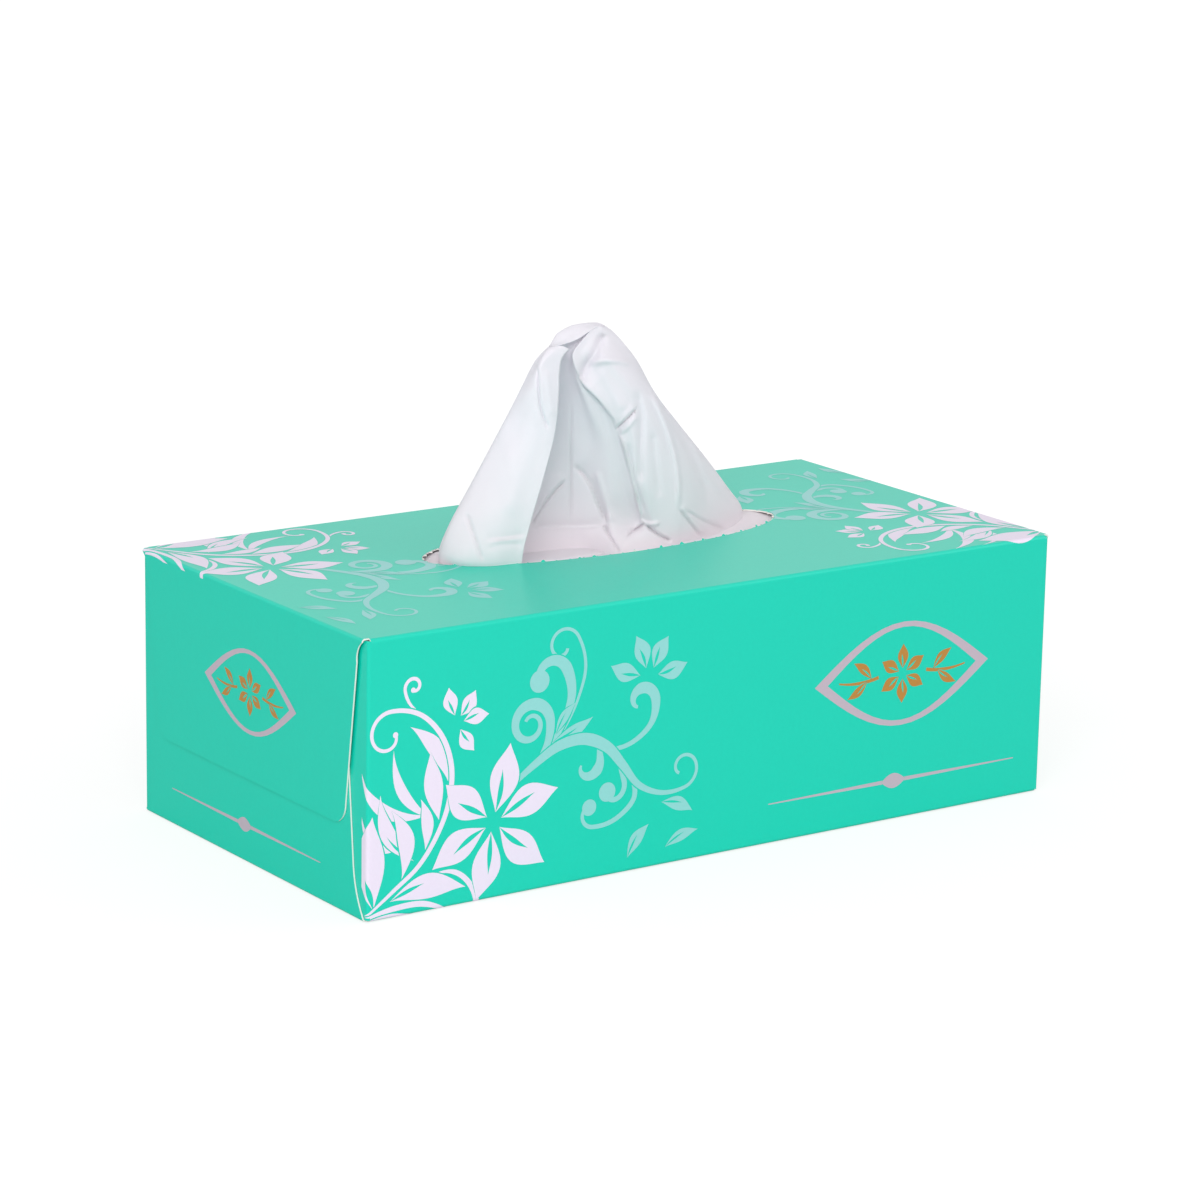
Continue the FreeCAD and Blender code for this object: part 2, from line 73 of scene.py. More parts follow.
def operator(operation: str, reflected: bool = False) -> Callable[["Wire", "Wire | float"], "Wire"]:
    """Makes an operator of wires that adds a maths node.

    Args:
        operation: What the node does.
        reflected: Whether the wire is its second value.

    Returns:
        The operator.
    """
    def apply(own: "Wire", other: "Wire | float") -> "Wire":
        """Adds the node and returns its value."""
        return own.shader.maths(operation, *((other, own) if reflected else (own, other)))

    return apply


class Wire:
    """A shader socket that takes part in Python expressions.

    A comparison gives one or nought, and the bar gives the greater of two masks.
    """

    def __init__(self, shader: "Shader", socket: bpy.types.NodeSocket) -> None:
        """Keeps the shader that the socket belongs to."""
        self.shader = shader
        self.socket = socket

    __add__ = __radd__ = operator("ADD")
    __sub__, __rsub__ = operator("SUBTRACT"), operator("SUBTRACT", reflected=True)
    __mul__ = __rmul__ = operator("MULTIPLY")
    __gt__, __lt__ = operator("GREATER_THAN"), operator("LESS_THAN")
    __or__ = operator("MAXIMUM")


class Shader:
    """The nodes of a material or of the world, added by expressions."""

    def __init__(self, owner: bpy.types.Material | bpy.types.World) -> None:
        """Empties the nodes of a material or of the world.

        Args:
            owner: The material or the world.
        """
        owner.use_nodes = True
        self.owner = owner
        self.tree = owner.node_tree
        self.tree.nodes.clear()
        kind = "World" if isinstance(owner, bpy.types.World) else "Material"
        self.output = self.tree.nodes.new("ShaderNodeOutput" + kind)

    @classmethod
    def named(cls, name: str) -> "Shader":
        """Starts a new material."""
        return cls(bpy.data.materials.new(name))

    def node(self, kind: str, settings: dict | None = None, inputs: dict | None = None) -> bpy.types.Node:
        """Adds a node, sets it and feeds its sockets.

        Args:
            kind: Type of the node.
            settings: Its attributes, set before its sockets.
            inputs: Values or wires by the socket's name or number.

        Returns:
            The new node.
        """
        made = self.tree.nodes.new(kind)
        for name, value in (settings or {}).items():
            setattr(made, name, value)
        for name, value in (inputs or {}).items():
            if isinstance(value, Wire):
                self.tree.links.new(value.socket, made.inputs[name])
            else:
                made.inputs[name].default_value = value
        return made

    def wire(self, kind: str, out: str | int, settings: dict | None = None,
             inputs: dict | None = None) -> Wire:
        """Adds a node as node does, and returns one of its outputs."""
        return Wire(self, self.node(kind, settings, inputs).outputs[out])

    def maths(self, operation: str, first: "Wire | float", second: "Wire | float") -> Wire:
        """Adds one sum on two values."""
        return self.wire("ShaderNodeMath", 0, {"operation": operation}, {0: first, 1: second})

    def mix(self, share: Wire, under: "Wire | Colour", over: "Wire | Colour") -> Wire:
        """Mixes two colours, the share being that of the second."""
        colours = [c if isinstance(c, Wire) else (*c, 1.0) for c in (under, over)]
        return self.wire("ShaderNodeMix", 2, {"data_type": "RGBA"}, {0: share, 6: colours[0], 7: colours[1]})

    def scaled(self, colour: Colour, share: Wire) -> Wire:
        """Darkens a colour to a share of itself."""
        return self.wire("ShaderNodeVectorMath", 0, {"operation": "SCALE"}, {0: colour, "Scale": share})

    def parts(self, vector: Wire) -> tuple[Wire, ...]:
        """Splits a vector into its three values."""
        split = self.node("ShaderNodeSeparateXYZ", None, {0: vector})
        return tuple(Wire(self, socket) for socket in split.outputs)

    def noise(self, scale: float, detail: float, at: "Wire | None" = None) -> Wire:
        """Noise about 0.5, of so many grains to the metre and octaves."""
        place = at or self.wire("ShaderNodeTexCoord", "Object")
        return self.wire("ShaderNodeTexNoise", 0, None, {"Vector": place, "Scale": scale, "Detail": detail})

    def bump(self, height: Wire, distance: float, strength: float) -> Wire:
        """Turns a height into a normal."""
        inputs = {"Height": height, "Distance": distance, "Strength": strength}
        return self.wire("ShaderNodeBump", 0, None, inputs)

    def blend(self, share: "Wire | float", under: bpy.types.Node, over: bpy.types.Node) -> bpy.types.Node:
        """Mixes two shaders, the share being that of the second."""
        ends = {1: Wire(self, under.outputs[0]), 2: Wire(self, over.outputs[0])}
        return self.node("ShaderNodeMixShader", None, {0: share, **ends})

    def surface(self, shader: bpy.types.Node) -> bpy.types.Material | bpy.types.World:
        """Sends a shader to the output and returns its finished owner."""
        self.tree.links.new(shader.outputs[0], self.output.inputs["Surface"])
        return self.owner


def linear(red: int, green: int, blue: int) -> Colour:
    """Scene colour of a printed colour from 0 to 255."""
    shares = [channel / 255 for channel in (red, green, blue)]
    return tuple(s / 12.92 if s <= 0.04045 else ((s + 0.055) / 1.055) ** 2.4 for s in shares)


# Finishes


@dataclass(frozen=True, kw_only=True)
class Litho:
    """What a coated board and its inks share: the faint mottle of the print and the fibres below."""

    specular: float = 0.42
    mottle: float = 0.06
    mottle_grain: float = 900
    fibre_grain: float = 2600
    relief: float = 0.00002
    relief_strength: float = 0.35

    def mottled(self, shader: Shader, colour: Colour, noise: Wire) -> Wire:
        """A colour that a noise darkens by up to the mottle."""
        return shader.scaled(colour, noise * self.mottle + (1 - self.mottle / 2))

    def coat(self, shader: Shader, colour: Wire, roughness: Wire, fibre: Wire) -> bpy.types.Material:
        """The finished material, to which a noise gives its relief."""
        return shader.surface(shader.node("ShaderNodeBsdfPrincipled", None, {
            "Base Color": colour, "Roughness": roughness, "Specular IOR Level": self.specular,
            "Normal": shader.bump(fibre, self.relief, self.relief_strength),
        }))


@dataclass(frozen=True)
class PrintedBoard(Litho):
    """Coated carton board, printed outside and grey-white inside and on its cut edges.

    Its lowest and highest are the places, in metres, beyond which a face that looks out carries ink.
    """

    ink: Colour = linear(2, 204, 178)
    raw: Colour = linear(238, 234, 230)
    roughness: float = 0.34
    raw_roughness: float = 0.7
    lowest: Place = (-0.1130, -0.0586, 0.001)
    highest: Place = (0.1130, 0.0586, 0.0750)
    facing: float = 0.3
    fibre_play: float = 0.08

    def material(self) -> bpy.types.Material:
        """Ink where the board faces out, with the faint mottle of a litho print.

        Returns:
            The material.
        """
        shader = Shader.named("printed_board")
        place = shader.wire("ShaderNodeTexCoord", "Object")
        normal = shader.wire("ShaderNodeNewGeometry", "Normal")
        sides = zip(shader.parts(place), shader.parts(normal), self.lowest, self.highest)
        masks = [mask for at, way, low, high in sides
                 for mask in ((at > high) * (way > self.facing), (at < low) * (way < -self.facing))]
        printed = reduce(Wire.__or__, masks)
        tone = self.mottled(shader, self.ink, shader.noise(self.mottle_grain, detail=3, at=place))
        fibre = shader.noise(self.fibre_grain, detail=4, at=place)
        roughness = (printed * (self.roughness - self.raw_roughness) + self.raw_roughness
                     + (fibre - 0.5) * self.fibre_play)
        return self.coat(shader, shader.mix(printed, self.raw, tone), roughness, fibre)


@dataclass(frozen=True, kw_only=True)
class Ink(Litho):
    """A flat printing ink over the board's coating."""

    slot: Slot
    colour: Colour
    roughness: float = 0.38
    roughness_play: float = 0.06
    mottle: float = 0.05
    mottle_grain: float = 1200
    relief_strength: float = 0.3

    def material(self) -> bpy.types.Material:
        """The ink with its faint mottle.

        Returns:
            The material.
        """
        shader = Shader.named(self.slot.value)
        mottle = shader.noise(self.mottle_grain, detail=3)
        roughness = mottle * self.roughness_play + self.roughness - self.roughness_play / 2
        tone = self.mottled(shader, self.colour, mottle)
        return self.coat(shader, tone, roughness, shader.noise(self.fibre_grain, detail=4))


@dataclass(frozen=True)
class Tissue:
    """Soft two-ply paper that lets some light through, with a warm tint painted on low down to offset the
    mint light that the board bounces onto it.

    Fibres and clouds darken it by their shades and raise it by their heights.
    """

    name: str = "tissue"
    colour: Colour = linear(247, 245, 250)
    # Painted warm tint low down, against the mint light that the board bounces onto the tissue.
    painted_warm_tint: Colour = linear(250, 243, 247)
    painted_tint_below: float = 0.112
    painted_tint_gain: float = 28
    through: float = 0.33
    roughness: float = 0.85
    specular: float = 0.2
    sheen: float = 0.15
    sheen_roughness: float = 0.6
    fibre_grain: float = 1500
    fibre_shade: float = 0.04
    fibre_height: float = 0.06
    cloud_grain: float = 160
    cloud_shade: float = 0.03
    cloud_height: float = 0.05
    swell_grain: float = 70
    relief: float = 0.0007
    relief_strength: float = 0.6

    def material(self) -> bpy.types.Material:
        """Matt paper with a fine crimp, clouded fibres and a little light from behind.

        Returns:
            The material.
        """
        shader = Shader.named(self.name)
        place = shader.wire("ShaderNodeTexCoord", "Object")
        fibres = shader.noise(self.fibre_grain, detail=5, at=place)
        cloud = shader.noise(self.cloud_grain, detail=3, at=place)
        lightest = 1 - (self.fibre_shade + self.cloud_shade) / 2
        tone = shader.scaled(self.colour, cloud * self.cloud_shade + fibres * self.fibre_shade + lightest)
        # Painted warm tint below a height, offsetting the mint light bounced off the board.
        low = (self.painted_tint_below - shader.parts(place)[2]) * self.painted_tint_gain
        swell = shader.noise(self.swell_grain, detail=2, at=place)
        height = fibres * self.fibre_height + cloud * self.cloud_height + swell
        normal = shader.bump(height, self.relief, self.relief_strength)
        paper = shader.node("ShaderNodeBsdfPrincipled", None, {
            "Base Color": shader.mix(low, tone, self.painted_warm_tint), "Roughness": self.roughness, "Normal": normal,
            "Specular IOR Level": self.specular, "Sheen Weight": self.sheen,
            "Sheen Roughness": self.sheen_roughness,
        })
        back_light = {"Color": (*self.colour, 1.0), "Normal": normal}
        glow = shader.node("ShaderNodeBsdfTranslucent", None, back_light)
        return shader.surface(shader.blend(self.through, paper, glow))


# Mesh helpers


def add_object(name: str, data: bpy.types.ID) -> bpy.types.Object:
    """Adds an object to the scene.

    Args:
        name: Its name.
        data: Its mesh, lamp or camera.

    Returns:
        The object.
    """
    made = bpy.data.objects.new(name, data)
    bpy.context.scene.collection.objects.link(made)
    return made


def thicken(piece: bpy.types.Object, thickness: float, offset: float = 0.0) -> None:
    """Gives a thin piece its thickness in millimetres, half of it to each side unless it has an offset."""
    solid = piece.modifiers.new("thickness", "SOLIDIFY")
    solid.thickness, solid.offset = thickness * MM, offset


def add_mesh(name: str, vertices: Iterable[Sequence[float]], faces: Iterable[Sequence[int]],
             smooth: bool = True) -> bpy.types.Object:
    """Makes an object from its corners and faces.

    Args:
        name: Name of the piece.
        vertices: Corners, in metres.
        faces: Corner numbers of each face.
        smooth: Whether the faces shade smoothly.

    Returns:
        The new object, in the scene.
    """
    mesh = bpy.data.meshes.new(name)
    corners = [tuple(float(value) for value in vertex) for vertex in vertices]
    mesh.from_pydata(corners, [], [tuple(face) for face in faces])
    mesh.update()
    for face in mesh.polygons:
        face.use_smooth = smooth
    return add_object(name, mesh)


def dress(piece: bpy.types.Object, material: bpy.types.Material) -> bpy.types.Object:
    """Gives a piece its material and the body that it rides on.

    Args:
        piece: The piece.
        material: Its material.

    Returns:
        The same piece.
    """
    piece.data.materials.append(material)
    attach(piece, BODY)
    LOG.info("%s: %d faces", piece.name, len(piece.data.polygons))
    return piece


def grid_faces(rows: int, columns: int, start: int) -> list[tuple[int, int, int, int]]:
    """Faces of a grid whose corners are numbered along its rows, from the start on."""
    return [
        (start + r * columns + c, start + r * columns + c + 1,
         start + (r + 1) * columns + c + 1, start + (r + 1) * columns + c)
        for r in range(rows - 1) for c in range(columns - 1)
    ]


def add_sheet(name: str, grids: Iterable[np.ndarray], thickness: float) -> bpy.types.Object:
    """Makes a thin sheet.

    Args:
        name: Name of the piece.
        grids: Points of each half, by row and column, in millimetres.
        thickness: Its thickness, in millimetres.

    Returns:
        The piece.
    """
    vertices, faces = [], []
    for grid in grids:
        faces += grid_faces(*grid.shape[:2], len(vertices))
        vertices += list(grid.reshape(-1, 3) * MM)
    piece = add_mesh(name, vertices, faces)
    thicken(piece, thickness)
    return piece


def run_through(knots: np.ndarray, values: np.ndarray, at: np.ndarray, sharp: np.ndarray | None = None,
                slopes: np.ndarray | None = None) -> np.ndarray:
    """Smooth curve through points, with a crease where a point is sharp.

    Args:
        knots: Where the points lie along the curve.
        values: The points, one row each.
        at: Where the curve is wanted.
        sharp: From 0, smooth, to 1, creased, for each point.
        slopes: Slope at each point, or None for the neighbours' mean.

    Returns:
        The curve's points.
    """
    slopes = np.gradient(values, knots, axis=0) if slopes is None else slopes
    chords = np.diff(values, axis=0) / np.diff(knots)[:, None]
    crease = np.zeros(len(knots)) if sharp is None else sharp
    span = np.clip(np.searchsorted(knots, at, side="right") - 1, 0, len(knots) - 2)
    step = np.diff(knots)[span][:, None]
    t = ((at - knots[span])[:, None]) / step
    leave = slopes[span] + (chords[span] - slopes[span]) * crease[span][:, None]
    arrive = slopes[span + 1] + (chords[span] - slopes[span + 1]) * crease[span + 1][:, None]
    first, last = values[span], values[span + 1]
    return ((2 * t**3 - 3 * t**2 + 1) * first + (t**3 - 2 * t**2 + t) * step * leave
            + (3 * t**2 - 2 * t**3) * last + (t**3 - t**2) * step * arrive)


# Camera and studio


@dataclass(frozen=True)
class Eye:
    """Where the photograph was taken from, in millimetres and degrees."""

    place: Place = (-664.05, -944.62, 351.53)
    azimuth: float = -35.085
    elevation: float = 14.225
    roll: float = 1.077
    lens: float = 126.74
    near: float = 0.05
    far: float = 20.0

    def axes(self) -> Matrix:
        """Directions of the camera.

        Returns:
            Its right, up and back as the columns of a matrix.
        """
        azimuth, elevation, roll = (math.radians(a) for a in (self.azimuth, self.elevation, self.roll))
        back = Vector((math.sin(azimuth) * math.cos(elevation), -math.cos(azimuth) * math.cos(elevation),
                       math.sin(elevation)))
        level = Vector((math.cos(azimuth), math.sin(azimuth), 0))
        upright = back.cross(level)
        right = level * math.cos(roll) + upright * math.sin(roll)
        up = upright * math.cos(roll) - level * math.sin(roll)
        return Matrix((right, up, back)).transposed()

    def camera(self) -> None:
        """Makes the scene's camera."""
        data = bpy.data.cameras.new("camera")
        data.lens = self.lens
        data.clip_start, data.clip_end = self.near, self.far
        camera = add_object("camera", data)
        camera.matrix_world = Matrix.Translation(Vector(self.place) * MM) @ self.axes().to_4x4()
        bpy.context.scene.camera = camera

    def along_sight(self, seen: np.ndarray) -> np.ndarray:
        """Moves points of the plane y = 0 along the lines of sight to their own depth.

        Args:
            seen: Rows of x and z in that plane, and the depth y.

        Returns:
            Rows of the true x, y and z.
        """
        share = 1 - seen[:, 2:3] / self.place[1]
        across = self.place[0] + (seen[:, 0:1] - self.place[0]) * share
        up = self.place[2] + (seen[:, 1:2] - self.place[2]) * share
        return np.hstack([across, seen[:, 2:3], up])

    def seen(self, true: np.ndarray) -> np.ndarray:
        """Where the lines of sight to true points cross the plane y = 0, as rows of x and z."""
        share = self.place[1] / (self.place[1] - true[:, 1:2])
        return np.hstack([self.place[0] + (true[:, 0:1] - self.place[0]) * share,
                          self.place[2] + (true[:, 2:3] - self.place[2]) * share])


@dataclass(frozen=True)
class Lamp:
    """A broad square lamp that faces the object."""

    name: str
    power: float
    size: float
    place: Place

    def build(self) -> None:
        """Adds the lamp to the scene."""
        data = bpy.data.lights.new(self.name, "AREA")
        data.energy, data.size = self.power, self.size
        lamp = add_object(self.name, data)
        lamp.location = self.place
        lamp.rotation_euler = (-Vector(self.place)).to_track_quat("-Z", "Y").to_euler()


@dataclass
class Studio:
    """White sweep, an even white surround and two broad lamps."""

    floor_half: float = 4.0
    floor_drop: float = 0.0002
    floor_colour: Colour = (0.9, 0.9, 0.9)
    floor_glow: float = 1.1
    near_glow: float = 0.67
    glow_spread: float = 3.5
    floor_in_gloss: float = 0.5
    surround: float = 0.64
    surround_in_gloss: float = 0.92
    lamps: tuple[Lamp, ...] = (
        Lamp("soft_lamp", 22.5, 1.2, (-1.15, -1.35, 1.1)),
        Lamp("fill_lamp", 5.0, 1.2, (1.5, -1.0, 0.9)),
    )

    def build(self) -> None:
        """Makes the floor, the world and the lamps, and sets the view transform."""
        self.floor()
        self.world()
        for lamp in self.lamps:
            lamp.build()
        bpy.context.scene.view_settings.view_transform = "Standard"

    def rays(self, shader: Shader) -> tuple[Wire, Wire]:
        """Masks of the rays from the camera and of those off a gloss.

        Args:
            shader: The nodes that they are for.

        Returns:
            One where the surface is seen directly, and one where it is seen in a gloss.
        """
        path = shader.node("ShaderNodeLightPath")
        camera, through, gloss = (
            Wire(shader, path.outputs[n]) for n in ("Is Camera Ray", "Is Transmission Ray", "Is Glossy Ray"))
        return camera | through, gloss

    def floor(self) -> None:
        """A white floor that keeps the object's soft shadow."""
        half = self.floor_half
        corners = [(-half, -half), (half, -half), (half, half), (-half, half)]
        sweep = add_mesh("floor", [(x, y, -self.floor_drop) for x, y in corners], [(0, 1, 2, 3)], False)
        shader = Shader.named("white_floor")
        direct, gloss = self.rays(shader)
        tone = shader.mix(gloss * self.floor_in_gloss, self.floor_colour, (0.0, 0.0, 0.0))
        matt = shader.node("ShaderNodeBsdfDiffuse", None, {"Color": tone})
        glow = shader.node("ShaderNodeEmission", None, {"Color": WHITE, "Strength": self.floor_glow})
        x, y, _ = shader.parts(shader.wire("ShaderNodeTexCoord", "Object"))
        far = shader.maths("MINIMUM", (x * x + y * y) * self.glow_spread, 1.0)
        share = direct * (far * (1 - self.near_glow) + self.near_glow)
        sweep.data.materials.append(shader.surface(shader.blend(share, matt, glow)))

    def world(self) -> None:
        """White all round, dimmer as a light than as a backdrop."""
        world = bpy.data.worlds.new("surround")
        bpy.context.scene.world = world
        shader = Shader(world)
        direct, gloss = self.rays(shader)
        extra = gloss * (self.surround_in_gloss - self.surround) + direct * (1 - self.surround)
        inputs = {"Color": WHITE, "Strength": extra + self.surround}
        shader.surface(shader.node("ShaderNodeBackground", None, inputs))


# Tissues in the box


@dataclass(frozen=True)
class Crown:
    """The crowned top of the pile, over which the sheets lie, in millimetres."""

    radius: float = 232.69
    centre: float = -160.24
    half_depth: float = 52.5
    half_length: float = 106.5
    base: float = 0.45
    half_steps: int = 40
    fold_steps: int = 8

    @property
    def upper_from(self) -> int:
        """First row of a folded sheet's upper half."""
        return self.half_steps + self.fold_steps - 1

    def over(self, level: float, across: np.ndarray) -> np.ndarray:
        """Height of a layer at distances across the pile."""
        return self.centre + np.sqrt((self.radius + level) ** 2 - across**2)

    def folded(self, low: float, high: float, side: int, low_end: float, high_end: float) -> np.ndarray:
        """Middle line of a sheet folded at one side of the pile.

        Args:
            low: Level of its lower half over the pile.
            high: Level of its upper half.
            side: Side of its fold, -1 for the front and 1 for the back.
            low_end: Where its lower half ends across the pile.
            high_end: Where its upper half ends.

        Returns:
            Rows of y and z, from the lower half's end to the upper half's.
        """
        edge = side * self.half_depth
        first = np.linspace(low_end, edge, self.half_steps)
        last = np.linspace(edge, high_end, self.half_steps)
        middle, bend = (low + high) / 2, (high - low) / 2
        sine = self.half_depth / self.radius
        cosine = math.sqrt(1 - sine**2)
        turns = np.linspace(0, math.pi, self.fold_steps + 1)[1:-1]
        out = bend * np.sin(turns)
        rise = -bend * np.cos(turns)
        fold_y = side * ((self.radius + middle) * sine + rise * sine + out * cosine)
        fold_z = self.centre + (self.radius + middle) * cosine + rise * cosine - out * sine
        lower = np.column_stack([first, self.over(low, first)])
        upper = np.column_stack([last, self.over(high, last)])
        return np.vstack([lower, np.column_stack([fold_y, fold_z]), upper])


@dataclass(frozen=True)
class Puff:
    """A place where a lying sheet puffs up into the opening."""

    x: float
    y: float
    length: float
    width: float
    rise: float

    def height(self, x: np.ndarray, y: np.ndarray) -> np.ndarray:
        """Rise at places on the sheet."""
        return self.rise * np.exp(-((x - self.x) / self.length) ** 2 - ((y - self.y) / self.width) ** 2)


@dataclass
class LyingSheet:
    """A tissue that lies folded on the pile, with puffs under the opening."""

    crown: Crown
    line: np.ndarray
    puffs: tuple[Puff, ...]
    columns: int = 60
    ripple: float = 0.05
    ripple_along: float = 0.35
    ripple_across: float = 0.12
    swell_along: float = 0.05
    swell_start: float = 0.8
    ceiling: float = 75.36

    def points(self) -> np.ndarray:
        """Points of the sheet, by row and column.

        Returns:
            The points, in millimetres.
        """
        x = np.linspace(-self.crown.half_length, self.crown.half_length, self.columns)
        rows = []
        for number, (y, z) in enumerate(self.line):
            height = np.full(len(x), z)
            if number >= self.crown.upper_from:
                across = np.full(len(x), y)
                height += sum(puff.height(x, across) for puff in self.puffs)
                swell = np.sin(x * self.swell_along + self.swell_start)
                height += self.ripple * np.sin(x * self.ripple_along + y * self.ripple_across) * swell
                height = np.minimum(height, self.ceiling)
            rows.append(np.column_stack([x, np.full(len(x), y), height]))
        return np.array(rows)


@dataclass
class FoldedTissue:
    """The next tissue, folded over the lower half of the pulled one."""

    sheet: LyingSheet
    finish: Tissue
    thickness: float = 0.25

    def build(self) -> bpy.types.Object:
        """Makes the sheet.

        Returns:
            The piece.
        """
        piece = add_sheet("next_folded_tissue", [self.sheet.points()], self.thickness)
        return dress(piece, self.finish.material())


@dataclass
class Pile:
    """The interfolded tissues below, whose folds show as ridges along both sides."""

    crown: Crown
    finish: Tissue
    folds: int = 96
    edge: float = 66.4
    bulge: float = 0.8
    ridge: float = 0.3
    inset: float = 0.5
    fold_steps: int = 4
    top_steps: int = 60

    def build(self) -> bpy.types.Object:
        """Makes the pile.

        Returns:
            The piece.
        """
        share = np.linspace(0, 1, self.fold_steps * self.folds + 1)
        side_z = self.crown.base + share * (self.edge - self.crown.base)
        ridge = np.abs(np.sin(share * math.pi * self.folds)) * self.ridge
        depth = self.crown.half_depth - self.inset
        side_y = depth + self.bulge * np.sin(math.pi * share) + ridge
        top_y = np.linspace(depth, -depth, self.top_steps)
        right = np.column_stack([side_y, side_z])
        top = np.column_stack([top_y, self.crown.over(0.0, top_y)])
        left = np.column_stack([-side_y[::-1], side_z[::-1]])
        outline = np.vstack([right, top[1:-1], left])
        half = self.crown.half_length
        vertices = [(x * MM, y * MM, z * MM) for x in (-half, half) for y, z in outline]
        count = len(outline)
        faces = [(n, (n + 1) % count, count + (n + 1) % count, count + n) for n in range(count)]
        faces += [tuple(range(count))[::-1], tuple(range(count, 2 * count))]
        piece = add_mesh("piled_tissues", vertices, faces, False)
        return dress(piece, self.finish.material())


# Lines


FEWEST_STEPS = 5


def walked(line: np.ndarray) -> np.ndarray:
    """Distance along a line at each of its points."""
    return np.concatenate([[0.0], np.cumsum(np.linalg.norm(np.diff(line, axis=0), axis=1))])


def headings(line: np.ndarray) -> np.ndarray:
    """Unit direction of a line at each of its points."""
    ahead = np.gradient(line, axis=0)
    return ahead / np.linalg.norm(ahead, axis=1)[:, None]


def oval(centre: Sequence[float], halves: Point, count: int) -> np.ndarray:
    """Points round an oval with those halves of its length and height."""
    turns = np.linspace(0, 2 * math.pi, count + 1)[:-1]
    return np.array(centre) + np.column_stack([np.cos(turns), np.sin(turns)]) * halves


def smooth_line(points: Sequence[Point], spacing: float = 0.8) -> np.ndarray:
    """Smooth line through points, in even steps.

    Args:
        points: Points that it passes through.
        spacing: Length of a step.

    Returns:
        The line's points.
    """
    values = np.array(points, dtype=float)
    knots = walked(values)
    slopes = np.gradient(values, knots, axis=0, edge_order=2 if len(points) > 2 else 1)
    steps = max(int(knots[-1] / spacing), FEWEST_STEPS)
    return run_through(knots, values, np.linspace(0, knots[-1], steps), slopes=slopes)


# Standing tissue


@dataclass(frozen=True)
class Rail:
    """One line up the standing tissue, from its foot over the crest, in millimetres.

    A point is x and z in the plane y = 0, on the line of sight, and then its depth. Only the first few of a
    rail at the back, the true ones, are x, y and z.
    """

    name: str
    columns: int
    sharp: float
    points: tuple[Place, ...]
    true: int = 0


@dataclass(frozen=True)
class Crease:
    """A crease along points seen in the plane y = 0, in millimetres towards the viewer.

    Positive rise makes a ridge and negative rise a valley. The step lifts what lies to the left of the path.
    """

    span: tuple[str, str]
    path: tuple[Point, ...]
    rise: float
    width: float
    step: float = 0.0
    reach: float = 3.0
    fade: float = 0.15
    spacing: float = 0.4

    def lift(self, seen: np.ndarray) -> np.ndarray:
        """How far each point moves towards the viewer.

        Args:
            seen: Rows of x and z in the plane y = 0.

        Returns:
            Distances.
        """
        line = smooth_line(self.path, self.spacing)
        offsets = seen[:, None, :] - line[None, :, :]
        nearest = np.argmin((offsets**2).sum(axis=2), axis=1)
        offset = offsets[np.arange(len(seen)), nearest]
        way = headings(line)[nearest]
        side = way[:, 0] * offset[:, 1] - way[:, 1] * offset[:, 0]
        share = nearest / (len(line) - 1)
        ends = np.clip(np.minimum(share, 1 - share) / self.fade, 0, 1)
        ends = ends**2 * (3 - 2 * ends)
        ridge = self.rise * np.exp(-(side / self.width) ** 2)
        beyond = np.exp(-(np.clip(side, 0, None) / self.reach) ** 2)
        ledge = self.step * 0.5 * (1 + np.tanh(2 * side / self.width)) * beyond
        return ends * (ridge + ledge)


